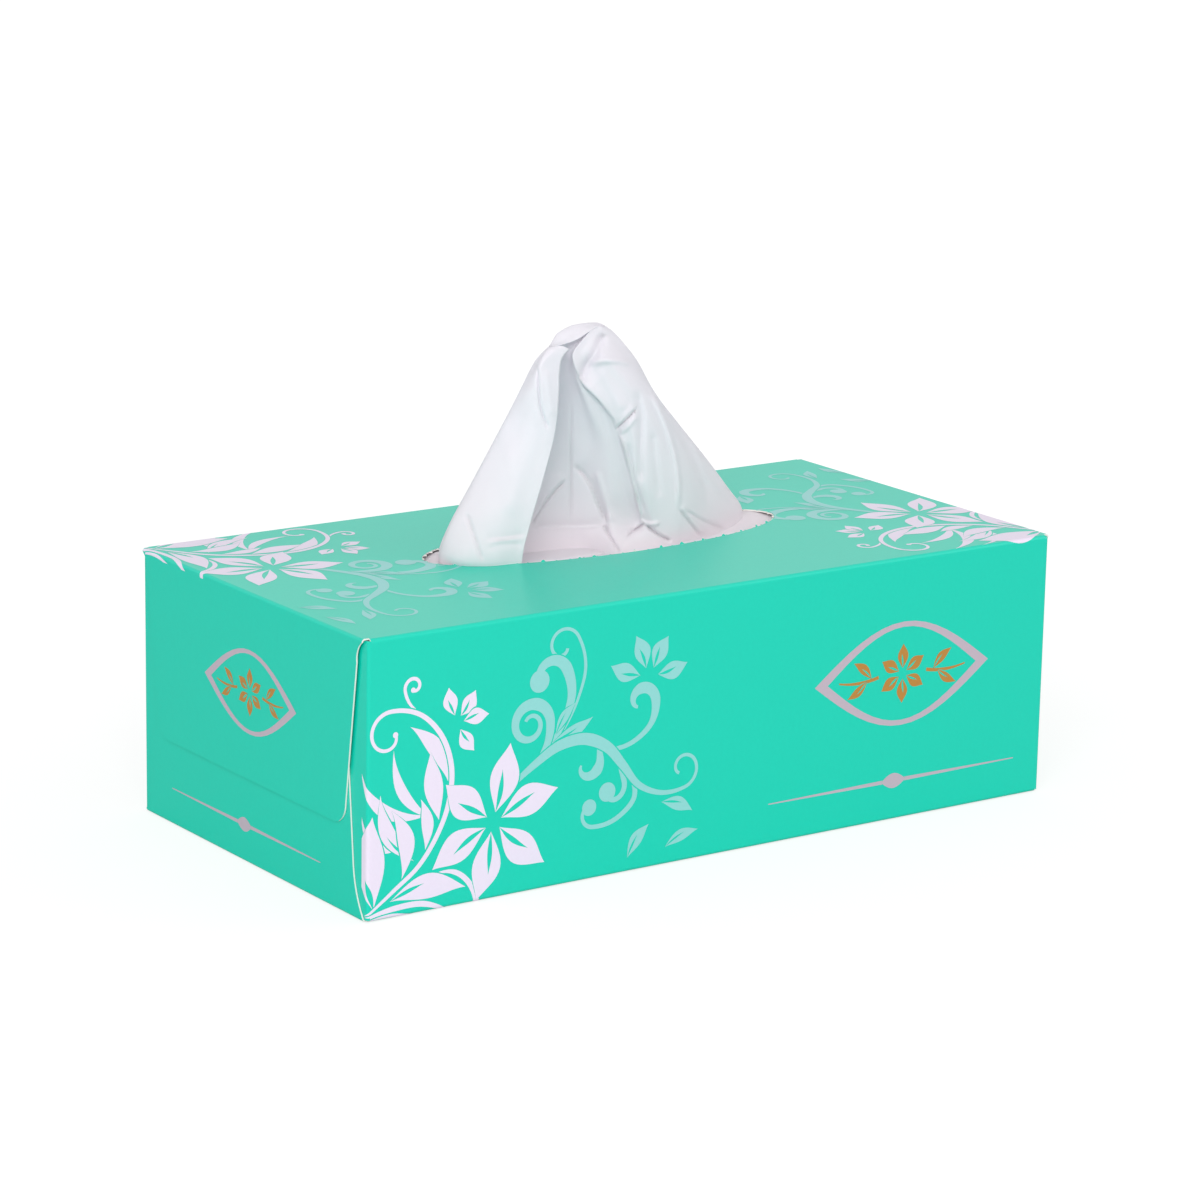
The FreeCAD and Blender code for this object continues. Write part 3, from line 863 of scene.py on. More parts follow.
V_PART = ("v_left", "right_fold")
RIGHT_PART = ("v_right", "right_fold")
RECESS = ("recess_left", "v_right")
LEFT_FACET = ("free_edge", "left_fold")
BACK = ("right_back", "back_edge")
RAILS = (
    Rail("free_edge", 10, 0, (
        (-27.5, 69, -9.5), (-27.1, 74.9, -10.6), (-24.7, 83.8, -10.5), (-20.6, 96.1, -9.5),
        (-16.8, 109.5, -7.6), (-15.7, 120.7, -6.2), (-15.6, 125.8, -5.5), (-14.9, 129.6, -5),
        (-13.9, 130.9, -4.8), (-12.9, 131.7, -4.6), (-12.6, 131.9, -4.5))),
    Rail("facet_fold", 18, 0.6, (
        (-30.5, 69.4, -9), (-29.9, 74.1, -10), (-27.4, 84.1, -10), (-23.6, 96.4, -8.9),
        (-19.2, 111.5, -7.6), (-21.7, 122.7, -6.9), (-21.8, 128.1, -6), (-18.6, 131.1, -5.4),
        (-16.9, 132.1, -5), (-15.6, 132.6, -4.7), (-14.9, 133, -4.5))),
    Rail("facet", 16, 0, (
        (-38.5, 70.9, -6.5), (-37.9, 74, -9), (-35.7, 84.5, -8.5), (-29.9, 96.8, -7.5),
        (-24.5, 110.9, -6.5), (-24.7, 122.2, -5), (-22.8, 128.4, -4.5), (-20.6, 131.3, -4.4),
        (-19.3, 132.3, -4.2), (-17.9, 132.7, -4), (-17.3, 133, -3.8))),
    Rail("facet_side", 12, 0, (
        (-47.7, 73.5, -3), (-47.4, 76.3, -5), (-44.6, 85.3, -4), (-37.2, 97.7, -3.5),
        (-30.2, 111, -2.5), (-27, 122.1, -2), (-23.2, 129, -1.5), (-20.9, 131.6, -2.2),
        (-19.9, 132.5, -2.5), (-18.9, 132.9, -2.8), (-18.4, 133.1, -3))),
    Rail("left_fold", 10, 0, (
        (-54.3, 76.3, 3), (-54, 79.7, 3), (-51.5, 85.8, 2.5), (-43.5, 98.4, 2.5),
        (-35.4, 111, 2.5), (-28.7, 121.7, 2), (-23.9, 129.4, 1.5), (-20.6, 132.3, 0),
        (-19.6, 133, -0.6), (-18.9, 133.2, -1.2), (-18.6, 133.2, -1.8))),
    Rail("left_back", 14, 0, (
        (-52, 78, 11), (-51.4, 81, 11), (-48.2, 86.6, 10), (-40.5, 98, 9),
        (-32.5, 110.6, 7), (-26.4, 121.5, 5), (-22.2, 129.2, 3.5), (-19.3, 132, 1.5),
        (-18.3, 132.6, 0.6), (-17.6, 132.8, 0), (-17.3, 133.1, -0.6))),
    Rail("recess_left", 12, 0, (
        (-32.9, 74.5, 6.4), (-32.3, 79.3, 6.7), (-30.1, 84.7, 7), (-24.9, 95.2, 7),
        (-20.2, 108.2, 6), (-18, 119.5, 4.4), (-16.8, 126.5, 2.2), (-15.9, 130.9, 0.6),
        (-15.6, 132.1, 0), (-15.3, 133.2, -0.8), (-15, 134.1, -1.6))),
    Rail("recess_dark", 14, 0, (
        (-22.6, 74.4, 5.4), (-22.3, 78.9, 6), (-22, 82.6, 6.5), (-19.2, 93.4, 6.4),
        (-16.4, 106.7, 5.4), (-15.3, 117.9, 3.6), (-14.5, 125.4, 1.4), (-13.9, 130.4, 0.2),
        (-13.6, 131.9, -0.2), (-13.3, 133.3, -1), (-13, 134.5, -1.8))),
    Rail("pleat", 10, 0.25, (
        (-10.7, 73.2, 3.8), (-10.8, 77.5, 4.1), (-11.1, 81.3, 4.4), (-11.3, 92.5, 4.2),
        (-11.6, 106.2, 3), (-12, 117.5, 1.4), (-12.6, 125.2, 0), (-12.6, 130.3, -0.6),
        (-11.9, 132, -0.8), (-11.3, 133.6, -1.2), (-10.6, 135, -2))),
    Rail("recess_right", 8, 0, (
        (-4.3, 72.7, 0.8), (-4.7, 76.8, 1), (-5.1, 80.6, 1.4), (-5, 91.7, 0.9), (-5.3, 105.5, -0.4),
        (-8.2, 116.6, -1.6), (-11.1, 124.8, -1.9), (-11.7, 130.2, -1.6), (-10.9, 132.2, -1.4),
        (-9.6, 134, -1.6), (-8.6, 135.6, -2.1))),
    Rail("v_left", 8, 0, (
        (1.2, 71.4, -6), (0.8, 76.1, -3.4), (0.4, 80.5, -1.2), (-0.2, 91.2, -2), (-1.6, 105.1, -3.2),
        (-5.9, 115.8, -3.8), (-10.1, 124.1, -3.2), (-11.4, 130.1, -2.4), (-10.3, 132.4, -1.9),
        (-8.3, 134.5, -2), (-7, 136.3, -2.3))),
    Rail("v_tip", 6, 0.5, (
        (6.1, 70, -12.3), (5.3, 74.1, -8), (3.1, 80.5, -3.2), (2.5, 90.9, -3.6), (0.8, 104, -4.5),
        (-3.2, 115.5, -4.7), (-9.1, 123.2, -3.9), (-11.2, 130.1, -2.9), (-9.9, 132.5, -2.3),
        (-7.6, 134.7, -2.2), (-6, 136.8, -2.3))),
    Rail("v_right", 8, 0.3, (
        (6.8, 70.5, -11), (8.7, 75.7, -7.4), (10.7, 78.7, -4.2), (6.6, 90.4, -4.6), (2.9, 104.6, -5.3),
        (-1.8, 115.4, -5.5), (-8.5, 122.7, -4.5), (-11, 130.2, -3.4), (-9.6, 132.6, -2.9),
        (-7.1, 135.1, -2.7), (-5, 137.1, -2.6))),
    Rail("crease", 10, 0.8, (
        (16.8, 70.1, -10), (15.6, 75.5, -8.5), (13.8, 79.5, -6.2), (10.1, 90, -6.8),
        (4.9, 105.8, -6.8), (-1.1, 115.7, -6.6), (-8.2, 122.8, -5.4), (-11.2, 130.5, -4.3),
        (-9.3, 132.9, -3.9), (-6.6, 135.3, -3.4), (-4.1, 137.5, -2.9))),
    Rail("ridge", 14, 0.5, (
        (21.4, 69.8, -9.6), (19.9, 74.1, -9.3), (18, 78.4, -9), (14.9, 89.5, -10),
        (9.7, 105.3, -9.5), (2.2, 118.4, -7.6), (-5.4, 125.9, -5), (-8.2, 131, -4),
        (-6.9, 133.2, -3.7), (-4.9, 135.4, -3.4), (-3.1, 137.5, -3))),
    Rail("right_front", 16, 0.25, (
        (27, 69.4, -9), (26.2, 73.9, -9.5), (26.3, 80, -9.5), (24.6, 92.2, -8.5),
        (17.6, 105.9, -8.6), (9, 118.8, -8.6), (0.6, 127.6, -7.6), (-2.8, 131.9, -5),
        (-2.5, 133.7, -4.2), (-2.1, 135.6, -3.6), (-1.8, 137.3, -3))),
    Rail("right_side", 16, 0, (
        (36.2, 70.1, -5), (35.3, 75.2, -5.5), (34.4, 80.8, -5), (31.3, 92, -4),
        (23.2, 105.9, -4.6), (14.5, 118.3, -4.8), (6.4, 127.6, -4.8), (2.2, 131.7, -3.7),
        (0.8, 133.9, -2.9), (-0, 135.7, -2.5), (-1.1, 137.3, -2))),
    Rail("right_fold", 12, 0, (
        (48.8, 76.5, 6), (48.3, 80.1, 7), (43.1, 86.6, 6), (35, 96.2, 5), (24.5, 107.8, 4),
        (15.9, 117.8, 3), (10.6, 126.3, 1.5), (6.3, 131.3, 0.2), (3.6, 134.1, -0.2), (1, 136.2, -0.5),
        (-0.9, 137.4, -0.8))),
    Rail("right_back", 12, 0, (
        (46, 15, 74.2), (45, 15.2, 78), (41.5, 14.6, 84), (33.5, 13, 96),
        (24, 11, 108.5), (15.5, 8.5, 119.5), (8.5, 6.2, 128), (-1, 3, 135.8), (-2.1, 137.9, 0.2),
        (-1.6, 137.7, -1.2), (-1.3, 137.4, -2.2)), 8),
    Rail("back", 12, 0.4, (
        (24, 17, 74.2), (23.5, 17.4, 78), (21.5, 18, 84.5), (17, 16.6, 97),
        (11.5, 14.2, 109), (6, 11, 120), (1, 7.4, 128.5), (-5, 3.8, 135.5), (-5.7, 138.6, 0.6),
        (-4.3, 137.9, -2), (-3.3, 137.4, -3.4)), 8),
    Rail("back_middle", 12, 0.3, (
        (-1, 16.6, 74.2), (-1, 16.4, 78), (-1.5, 15.2, 84.5), (-3, 13.6, 97),
        (-5, 11.8, 109.5), (-7, 9.4, 120.5), (-9, 7.8, 129), (-11, 4, 135.2),
        (-11.4, 138.5, 0.6), (-8.7, 136.8, -2.2), (-6.3, 136, -3.6)), 8),
    Rail("back_left", 10, 0.4, (
        (-25, 17.2, 74.2), (-24.5, 17.6, 78), (-23, 17.4, 84.5), (-20.5, 15.8, 97),
        (-18.5, 13.4, 109.5), (-16.5, 10.4, 120.5), (-15.5, 7, 128.5), (-15, 3.4, 133.8),
        (-16.2, 136.8, 0.4), (-13, 134.9, -2.4), (-10.6, 134.2, -3.8)), 8),
    Rail("back_edge", 0, 0, (
        (-45.2, 12.6, 74.2), (-44.6, 12.8, 78), (-42, 11.8, 84.5), (-34.8, 10.8, 97),
        (-28.1, 8.8, 109), (-23.2, 6.6, 120), (-19.9, 4.6, 127.8), (-17.8, 2.4, 132.4),
        (-18.9, 133.5, 0), (-18.6, 133.1, -1.8), (-18.3, 132.9, -3.4)), 8),
)
CREASES = (
    Crease(V_PART, ((-7.3, 121.2), (-3.5, 117.8), (0.4, 113.6), (4.5, 109)), 0.2, 0.4, 0.9, 3),
    Crease(RIGHT_PART, ((3.4, 107.6), (5.5, 108.9), (7.9, 110.7), (10.9, 113.2)), -1.6, 0.4, 1, 2.2),
    Crease(RIGHT_PART, ((4.9, 106.4), (7.9, 108.1), (10.9, 110.9)), 0.9, 0.7),
    Crease(RIGHT_PART, ((4.5, 107.3), (7.1, 100.7), (9.7, 93), (11.9, 84.9), (13.5, 79.5)), 1, 0.4, 1.2, 2),
    Crease(RIGHT_PART, ((9.7, 118.7), (11.9, 113.4), (12.4, 106.5), (12.3, 99.3), (13.2, 90.5)), -1.4, 1.2),
    Crease(RIGHT_PART, ((14.5, 118.3), (19.6, 110), (22.9, 102.2), (25.3, 93.5), (25.9, 82.1)), 1.6, 0.9),
    Crease(RIGHT_PART, ((18.7, 116.1), (26.7, 103.2), (34.1, 90.2), (38, 81)), -1, 1.2),
    Crease(RIGHT_PART, ((-0.9, 135.9), (-3.8, 130), (-7.4, 125.5), (-8, 121.6)), -2.2, 1.5),
    Crease(RIGHT_PART, ((-6.1, 127.1), (-2.1, 127.6), (3.4, 127.2), (8.5, 125.7)), 1.2, 0.8),
    Crease(RIGHT_PART, ((-3.3, 124.6), (0.1, 122), (4.3, 116.4), (6.5, 112.2)), 0.9, 2),
    Crease(RIGHT_PART, ((16.2, 106.1), (17.5, 97.3), (19.6, 85.5)), -0.8, 1),
    Crease(RIGHT_PART, ((8, 103.8), (9.2, 97.6), (11.5, 89.3), (14.8, 81.7)), -1, 0.8),
    Crease(LEFT_FACET, ((-22.9, 129.3), (-22.6, 122.5), (-21.6, 115.7), (-18.5, 109.7)), -0.9, 0.5),
    Crease(LEFT_FACET, ((-20.2, 127.3), (-19, 120.5), (-17.6, 113)), 0.5, 1),
    Crease(LEFT_FACET, ((-46, 89.7), (-43.9, 84.4), (-40.2, 74.8)), -0.8, 0.5),
    Crease(LEFT_FACET, ((-39.9, 80.3), (-34.7, 80.3), (-26, 80.1)), 0.5, 0.35, -0.4, 2),
    Crease(LEFT_FACET, ((-39.3, 78.4), (-33, 78.8), (-26.6, 78)), -0.3, 0.5),
    Crease(LEFT_FACET, ((-36.5, 116.7), (-33.1, 108.5), (-30.9, 97), (-32.1, 85.8)), 0.5, 3),
    Crease(RECESS, ((-25.4, 82.7), (-21.5, 87.4), (-17.2, 92), (-12.5, 95.2)), -1.2, 0.45, 1.2, 3),
    Crease(RECESS, ((-10.6, 99.2), (-5, 93.5), (-1.1, 85.6), (1.4, 80.9)), -1.4, 0.45, -1, 3),
    Crease(RECESS, ((-25.7, 82.7), (-12.9, 81.4), (0.4, 80.2)), 0.3, 0.3, -0.7, 2),
    Crease(RECESS, ((-11.6, 117.5), (-11.5, 103.3), (-11.1, 82.1)), -0.5, 0.4),
    Crease(RECESS, ((-2.7, 96.6), (0.5, 87.7), (3.1, 80.5)), 0.9, 1),
    Crease(RECESS, ((0.3, 80.8), (3.2, 75.8), (6.4, 71.7)), -1.4, 0.45),
    Crease(RIGHT_PART, ((25.9, 82.7), (30.3, 77.5), (35, 72.5)), -1.2, 0.45, 0.8, 2),
    Crease(RIGHT_PART, ((28, 81.9), (35.2, 77.5), (43.9, 74.1)), -1.2, 0.45),
    Crease(RIGHT_PART, ((33.4, 90.3), (39.2, 85), (44.8, 79.6)), -0.6, 0.8),
    Crease(RIGHT_PART, ((14.5, 79.4), (10.7, 77.5), (7.3, 75.9)), -1.6, 0.45),
    Crease(RIGHT_PART, ((14.9, 79.1), (18.8, 75.7), (24.1, 73)), -1.6, 0.45),
    Crease(RIGHT_PART, ((12.7, 80.8), (15.6, 79), (19.7, 79.1)), 0.9, 0.6),
    Crease(BACK, ((-0.4, 130.8), (5.4, 103.9), (13.8, 84.8)), -1.2, 1),
    Crease(BACK, ((-12.2, 130.1), (-14.6, 108.6), (-9.8, 84.8)), 1.2, 1.2),
    Crease(BACK, ((-19.5, 125.9), (-28.7, 103.4), (-37, 84.7)), -1, 1),
    Crease(BACK, ((-20.9, 94.4), (-7.8, 88.7), (2.4, 90.6)), 0.9, 0.8),
)


@dataclass
class StandingTissue:
    """The tissue that is pulled up through the opening and stands as a gathered hood."""

    eye: Eye
    finish: Tissue
    lying: LyingSheet
    thickness: float = 0.25
    rows: int = 160
    levels: tuple[float, ...] = (0.0, 0.07, 0.18, 0.36, 0.54, 0.70, 0.80, 0.88, 0.92, 0.96, 1.0)
    rails: tuple[Rail, ...] = RAILS
    creases: tuple[Crease, ...] = CREASES

    def rail_points(self, rail: Rail) -> np.ndarray:
        """True points of a rail, one for each level."""
        points = np.array(rail.points)
        return np.vstack([points[:rail.true], self.eye.along_sight(points[rail.true:])])

    def surface(self) -> np.ndarray:
        """Points of the standing half.

        Returns:
            The points by row and column.
        """
        levels = np.array(self.levels)
        rows = np.linspace(0, 1, self.rows)
        lines = np.array([run_through(levels, self.rail_points(rail), rows) for rail in self.rails])
        knots = np.arange(len(self.rails), dtype=float)
        sharp = np.array([rail.sharp for rail in self.rails])
        columns = np.array([n + c / rail.columns for n, rail in enumerate(self.rails[:-1])
                            for c in range(rail.columns)] + [knots[-1]])
        points = np.array([run_through(knots, lines[:, r], columns, sharp) for r in range(self.rows)])
        names = [rail.name for rail in self.rails]
        for crease in self.creases:
            first, last = (names.index(name) for name in crease.span)
            inside = (columns >= first) & (columns <= last)
            part = points[:, inside].reshape(-1, 3)
            towards = np.array(self.eye.place) - part
            towards /= np.linalg.norm(towards, axis=1)[:, None]
            lifted = part + towards * crease.lift(self.eye.seen(part))[:, None]
            points[:, inside] = lifted.reshape(self.rows, -1, 3)
        return points

    def build(self) -> bpy.types.Object:
        """Makes the sheet: its standing half and the half that lies in the box.

        Returns:
            The piece.
        """
        piece = add_sheet("pulled_sheet", [self.surface(), self.lying.points()], self.thickness)
        return dress(piece, self.finish.material())


# Print


HALF_WIDTH, HALF_HEIGHT, HEIGHT = 59, 38, 76
LIFT = 0.03
SAME_POINT = 1e-4
NO_FOLD = (200.0, 1.0)
BARE = None
Patch = tuple[np.ndarray, "Slot | None"]


@dataclass(frozen=True)
class Vine:
    """A scroll: a swelling line through points, which may end in a curl and a ball."""

    points: tuple[Point, ...]
    widths: tuple[float, ...]
    radius: float = 0.0
    turn: float = 0.0
    ball: float = 0.0
    closing: float = 0.72
    halo: float = 0.35
    curl_step: float = 9.0
    ball_steps: int = 24

    def line(self) -> np.ndarray:
        """Its middle line, with the curl wound on at the end.

        Returns:
            The line's points.
        """
        line = list(smooth_line(self.points))
        ahead = line[-1] - line[-2]
        heading = math.atan2(ahead[1], ahead[0])
        steps = int(abs(self.turn) / self.curl_step)
        for number in range(steps):
            turn = math.radians(self.turn / steps)
            reach = self.radius * (1 - self.closing * (number + 0.5) / steps) * abs(turn)
            heading += turn
            chord = heading - turn / 2
            line.append(line[-1] + reach * np.array([math.cos(chord), math.sin(chord)]))
        return np.array(line)

    def band(self, line: np.ndarray, extra: float) -> list[np.ndarray]:
        """Four-sided pieces along the line.

        Args:
            line: Its middle line.
            extra: How much wider than the vine they are on each side.

        Returns:
            The outlines.
        """
        reached = walked(line)
        half = np.interp(reached / reached[-1], np.linspace(0, 1, len(self.widths)), self.widths) + extra
        ahead = headings(line)
        aside = np.column_stack([-ahead[:, 1], ahead[:, 0]]) * half[:, None]
        left, right = line + aside, line - aside
        return [np.array([right[n], right[n + 1], left[n + 1], left[n]]) for n in range(len(line) - 1)]

    def patches(self, ink: Slot) -> list[Patch]:
        """Its halo, then its band and ball.

        Args:
            ink: Its ink.

        Returns:
            Patches in the order in which they are laid.
        """
        line = self.line()
        laid = [(piece, BARE) for piece in self.band(line, self.halo)] if self.halo else []
        laid += [(piece, ink) for piece in self.band(line, 0)]
        if self.ball:
            laid.append((oval(line[-1], (self.ball, self.ball), self.ball_steps), ink))
        return laid


@dataclass(frozen=True)
class Leaf:
    """A pointed leaf or petal with a bare vein from its base."""

    base: Point
    tip: Point
    half_width: float
    bend: float = 0.0
    vein: float = 0.62
    halo: float = 0.45
    fullness: float = 1.12
    point: float = 0.5
    steps: int = 16
    vein_width: float = 0.17
    vein_shift: float = 0.25

    def outline(self, reach: float, half_width: float, shift: float = 0.0) -> np.ndarray:
        """Outline of an almond along the leaf's curved middle line.

        Args:
            reach: Share of the leaf's length that it covers.
            half_width: Half its greatest width.
            shift: How far its tip lies to the left of the middle line.

        Returns:
            The outline.
        """
        base, tip = np.array(self.base), np.array(self.tip)
        along = tip - base
        aside = np.array([-along[1], along[0]]) / np.linalg.norm(along)
        share = np.linspace(0, 1, self.steps + 1)
        run = share * reach
        bow = 4 * self.bend * run * (1 - run) * np.linalg.norm(along)
        middle = base + run[:, None] * along + (bow + shift * share**2)[:, None] * aside
        half = half_width * np.abs(np.sin(math.pi * share**self.fullness)) * (1 - self.point * share**3)
        left, right = middle + half[:, None] * aside, middle - half[:, None] * aside
        return np.vstack([right, left[-2:0:-1]])

    def patches(self, ink: Slot) -> list[Patch]:
        """Its halo, its blade and its vein.

        Args:
            ink: Its ink.

        Returns:
            Patches in the order in which they are laid.
        """
        half = self.half_width
        laid = [(self.outline(1.0, half + self.halo), BARE)] if self.halo else []
        laid.append((self.outline(1.0, half), ink))
        if self.vein:
            laid.append((self.outline(self.vein, half * self.vein_width, half * self.vein_shift), BARE))
        return laid


def blossom(centre: Point, petals: Sequence[tuple[float, float, float, float]], gap: float) -> list[Leaf]:
    """Petals round a bare centre.

    Args:
        centre: Middle of the flower.
        petals: Direction in degrees, length, half width and bend of each.
        gap: Radius of the bare centre.

    Returns:
        The petals.
    """
    made = []
    for degrees, length, half_width, bend in petals:
        way = np.array([math.cos(math.radians(degrees)), math.sin(math.radians(degrees))])
        base, tip = np.array(centre) + way * gap, np.array(centre) + way * length
        made.append(Leaf(tuple(base), tuple(tip), half_width, bend))
    return made


@dataclass(frozen=True)
class CornerSpray:
    """The flourish that grows out of a corner: pale flowers and leaves, then mint scrolls."""

    scrolls: tuple[Vine | Leaf, ...] = (
        Vine(((62, 43), (66.5, 51), (68.8, 60), (66.5, 68)), (0.3, 0.5, 0.45, 0.5), 5.4, 330),
        Vine(((55.5, 37), (61.5, 44.5), (64.5, 53), (63, 59.5)), (0.5, 1.1, 1.7, 1.0), 5.6, 175, 3.1, 0.4),
        Vine(((53, 35), (57, 40.5), (57.8, 45.5)), (0.6, 1.3, 1.7, 1.2, 0.8, 0.5), 6.4, 520),
        Leaf((58.5, 40.3), (71.5, 45.4), 1.9, -0.05),
        Leaf((59.5, 42), (66, 50.2), 1.5, 0.08),
        Vine(((73.5, 38.5), (74, 33.5)), (0.5, 1.0, 1.7, 1.1, 0.3), 4.6, -225),
        Vine(((78, 35.4), (85.5, 36.8), (91, 41.5), (92, 46.5)), (0.6, 0.7, 0.9, 1.5, 1.6, 0.4), 5.0, 265),
        Vine(((80.5, 31.5), (82, 26)), (0.9, 0.8, 0.7), 4.4, -215, 2.7),
        Vine(((84.5, 26.5), (85.5, 21), (80.5, 16.2), (72, 14.6)), (0.8, 0.8, 0.7, 0.6, 0.5), 4.2, -190, 2.3),
        Vine(((45, 29.5), (53, 35), (61, 39), (69, 39.6), (76, 36.5), (81.5, 30.5), (87, 24), (95, 20.6),
              (102, 21)), (0.6, 1.1, 1.5, 1.7, 1.4, 1.0, 0.7, 0.5, 0.5, 0.45), 5.6, 330),
        *blossom((89.5, 53.5), ((158, 13.5, 2.8, 0.05), (110, 13, 2.8, -0.05), (60, 12.5, 2.8, 0.05),
                                (12, 13, 2.7, -0.06)), 3.0),
        Leaf((94.5, 18), (105, 14), 2.1, 0.08),
        Leaf((83.5, 4), (90.5, 12.5), 2.1, 0.08),
        Leaf((96, 5), (107, 8.4), 1.8, 0.08),
    )
    flowers: tuple[Vine | Leaf, ...] = (
        Leaf((25.8, 34.5), (14, 51), 2.5, -0.12, 0.0),
        Leaf((21.5, 25.0), (9.0, 45.5), 1.7, 0.16, 0.0),
        Leaf((23.0, 24.5), (20.3, 43.5), 3.1, 0.02, 0.0),
        Leaf((20.5, 26.5), (-1.8, 41.0), 1.9, 0.20, 0.0),
        Leaf((18.8, 17.0), (17.4, 31), 2.0, -0.10, 0.0),
        Leaf((16.2, 20.5), (-2.0, 30.5), 1.5, 0.30, 0.0),
        Leaf((15.4, 14.5), (5.0, 34.0), 2.4, 0.14, 0.5),
        Leaf((11.6, 10.2), (8.2, 29.5), 2.7, -0.16, 0.0),
        Leaf((3.0, 3.0), (2.6, 28.5), 5.2, 0.05, 0.34),
        Vine(((18.5, 54), (14.3, 56.6), (12.4, 60.5)), (0.1, 0.45, 0.5, 0.45), 2.9, -330, 0.7),
        Vine(((0.4, 1.4), (9.5, 7.6), (16.5, 12.6), (22, 19.6), (25.8, 28), (26.8, 38), (23.5, 47.5),
               (16.5, 54.2), (8.5, 56)), (0.3, 0.6, 0.7, 0.75, 0.8, 0.7, 0.6, 0.5, 0.45), 6.6, 300, 0.8),
        Vine(((21.5, 9.8), (28.5, 9.2), (33.2, 4.8), (35.2, -1.5)), (0.1, 0.7, 0.8, 0.9)),
        Leaf((8.0, 4.6), (31.5, 4.8), 3.7, 0.10, 0.45),
        Vine(((0.6, 0.9), (10, 2.6), (19, 2.2), (27, -1.8)), (0.4, 0.8, 0.8, 0.4)),
        Vine(((2.0, 0.2), (8, 0.8), (16, -0.8)), (0.3, 0.5, 0.3)),
        *blossom((28.2, 50.0), ((104, 10.2, 2.4, 0.06), (54, 10.0, 2.4, -0.06), (6, 10.2, 2.4, 0.05),
                                 (-56, 10.0, 2.4, -0.05)), 2.2),
        *blossom((40.0, 21.2), ((76, 21.5, 4.9, -0.03), (17, 21.5, 4.7, 0.05), (-40, 21.5, 4.8, -0.05),
                                 (-104, 21.5, 4.8, 0.05), (-152, 21.5, 4.6, -0.04),
                                 (140, 19.5, 4.9, 0.04)), 2.6),
    )

    def patches(self, corner: Point, along: Point, scale: float) -> list[Patch]:
        """The spray laid on a panel.

        Args:
            corner: Where it grows from.
            along: Direction on the panel of the spray's own right.
            scale: Its size.

        Returns:
            Patches in the order in which they are laid.
        """
        turned = np.array([along, (-along[1], along[0])]) * scale
        laid = [patch for pieces, ink in ((self.scrolls, Slot.SCROLLS), (self.flowers, Slot.FLOWERS))
                for piece in pieces for patch in piece.patches(ink)]
        return [(shape @ turned + np.array(corner), ink) for shape, ink in laid]


@dataclass(frozen=True)
class Emblem:
    """The label's place: a pointed oval frame round a small gold rosette, over a fine rule."""

    half_length: float = 31.0
    half_height: float = 15.0
    band: float = 1.5
    rule_half: float = 44.0
    rule_widths: Place = (0.15, 0.6, 0.15)
    knot: float = 2.2
    petals: int = 6
    petal: Place = (8.6, 2.0, 0.0)
    rosette_gap: float = 1.5

    @staticmethod
    def sprig(side: int) -> list[Vine | Leaf]:
        """The sprig to the left of the rosette at side -1, or to its right at side 1."""
        return [
            Vine(((side * 8.5, 0), (side * 15, -0.8), (side * 22.5, 0)), (0.5, 0.45, 0.2)),
            Leaf((side * 11, -0.2), (side * 17.5, 5.2), 1.5, 0.08 * side),
            Leaf((side * 12.5, -0.4), (side * 19.5, -5.0), 1.4, -0.08 * side),
        ]

    def plaque(self, centre: Point, scale: float) -> list[Patch]:
        """The pointed oval with its rosette, laid on a panel.

        Args:
            centre: Its middle.
            scale: Its size.

        Returns:
            Patches in the order in which they are laid.
        """
        laid = []
        inner = (self.half_length - 3 * self.band, self.half_height - self.band)
        for (far, high), ink in (((self.half_length, self.half_height), Slot.LABEL), (inner, BARE)):
            laid.append((Leaf((-far, 0), (far, 0), high, fullness=1.0, point=0).outline(1.0, high), ink))
        turns = [360 / self.petals * (number + 0.5) for number in range(self.petals)]
        pieces = blossom((0, 0), [(turn, *self.petal) for turn in turns], self.rosette_gap)
        for side in (-1, 1):
            pieces += self.sprig(side)
        laid += [patch for piece in pieces for patch in piece.patches(Slot.GOLD)]
        return [(shape * scale + np.array(centre), ink) for shape, ink in laid]

    def rule(self, centre: Point, scale: float) -> list[Patch]:
        """A fine swelling line with a pointed knot, laid on a panel.

        Args:
            centre: Its middle.
            scale: Its size.

        Returns:
            Patches in the order in which they are laid.
        """
        half, knot = self.rule_half, self.knot
        line = Vine(((-half, 0), (0, 0), (half, 0)), self.rule_widths)
        middle = Leaf((-2 * knot, 0), (2 * knot, 0), knot, vein=0, halo=0.6, fullness=1.0, point=0)
        laid = line.patches(Slot.LABEL) + middle.patches(Slot.LABEL)
        return [(shape * scale + np.array(centre), ink) for shape, ink in laid]


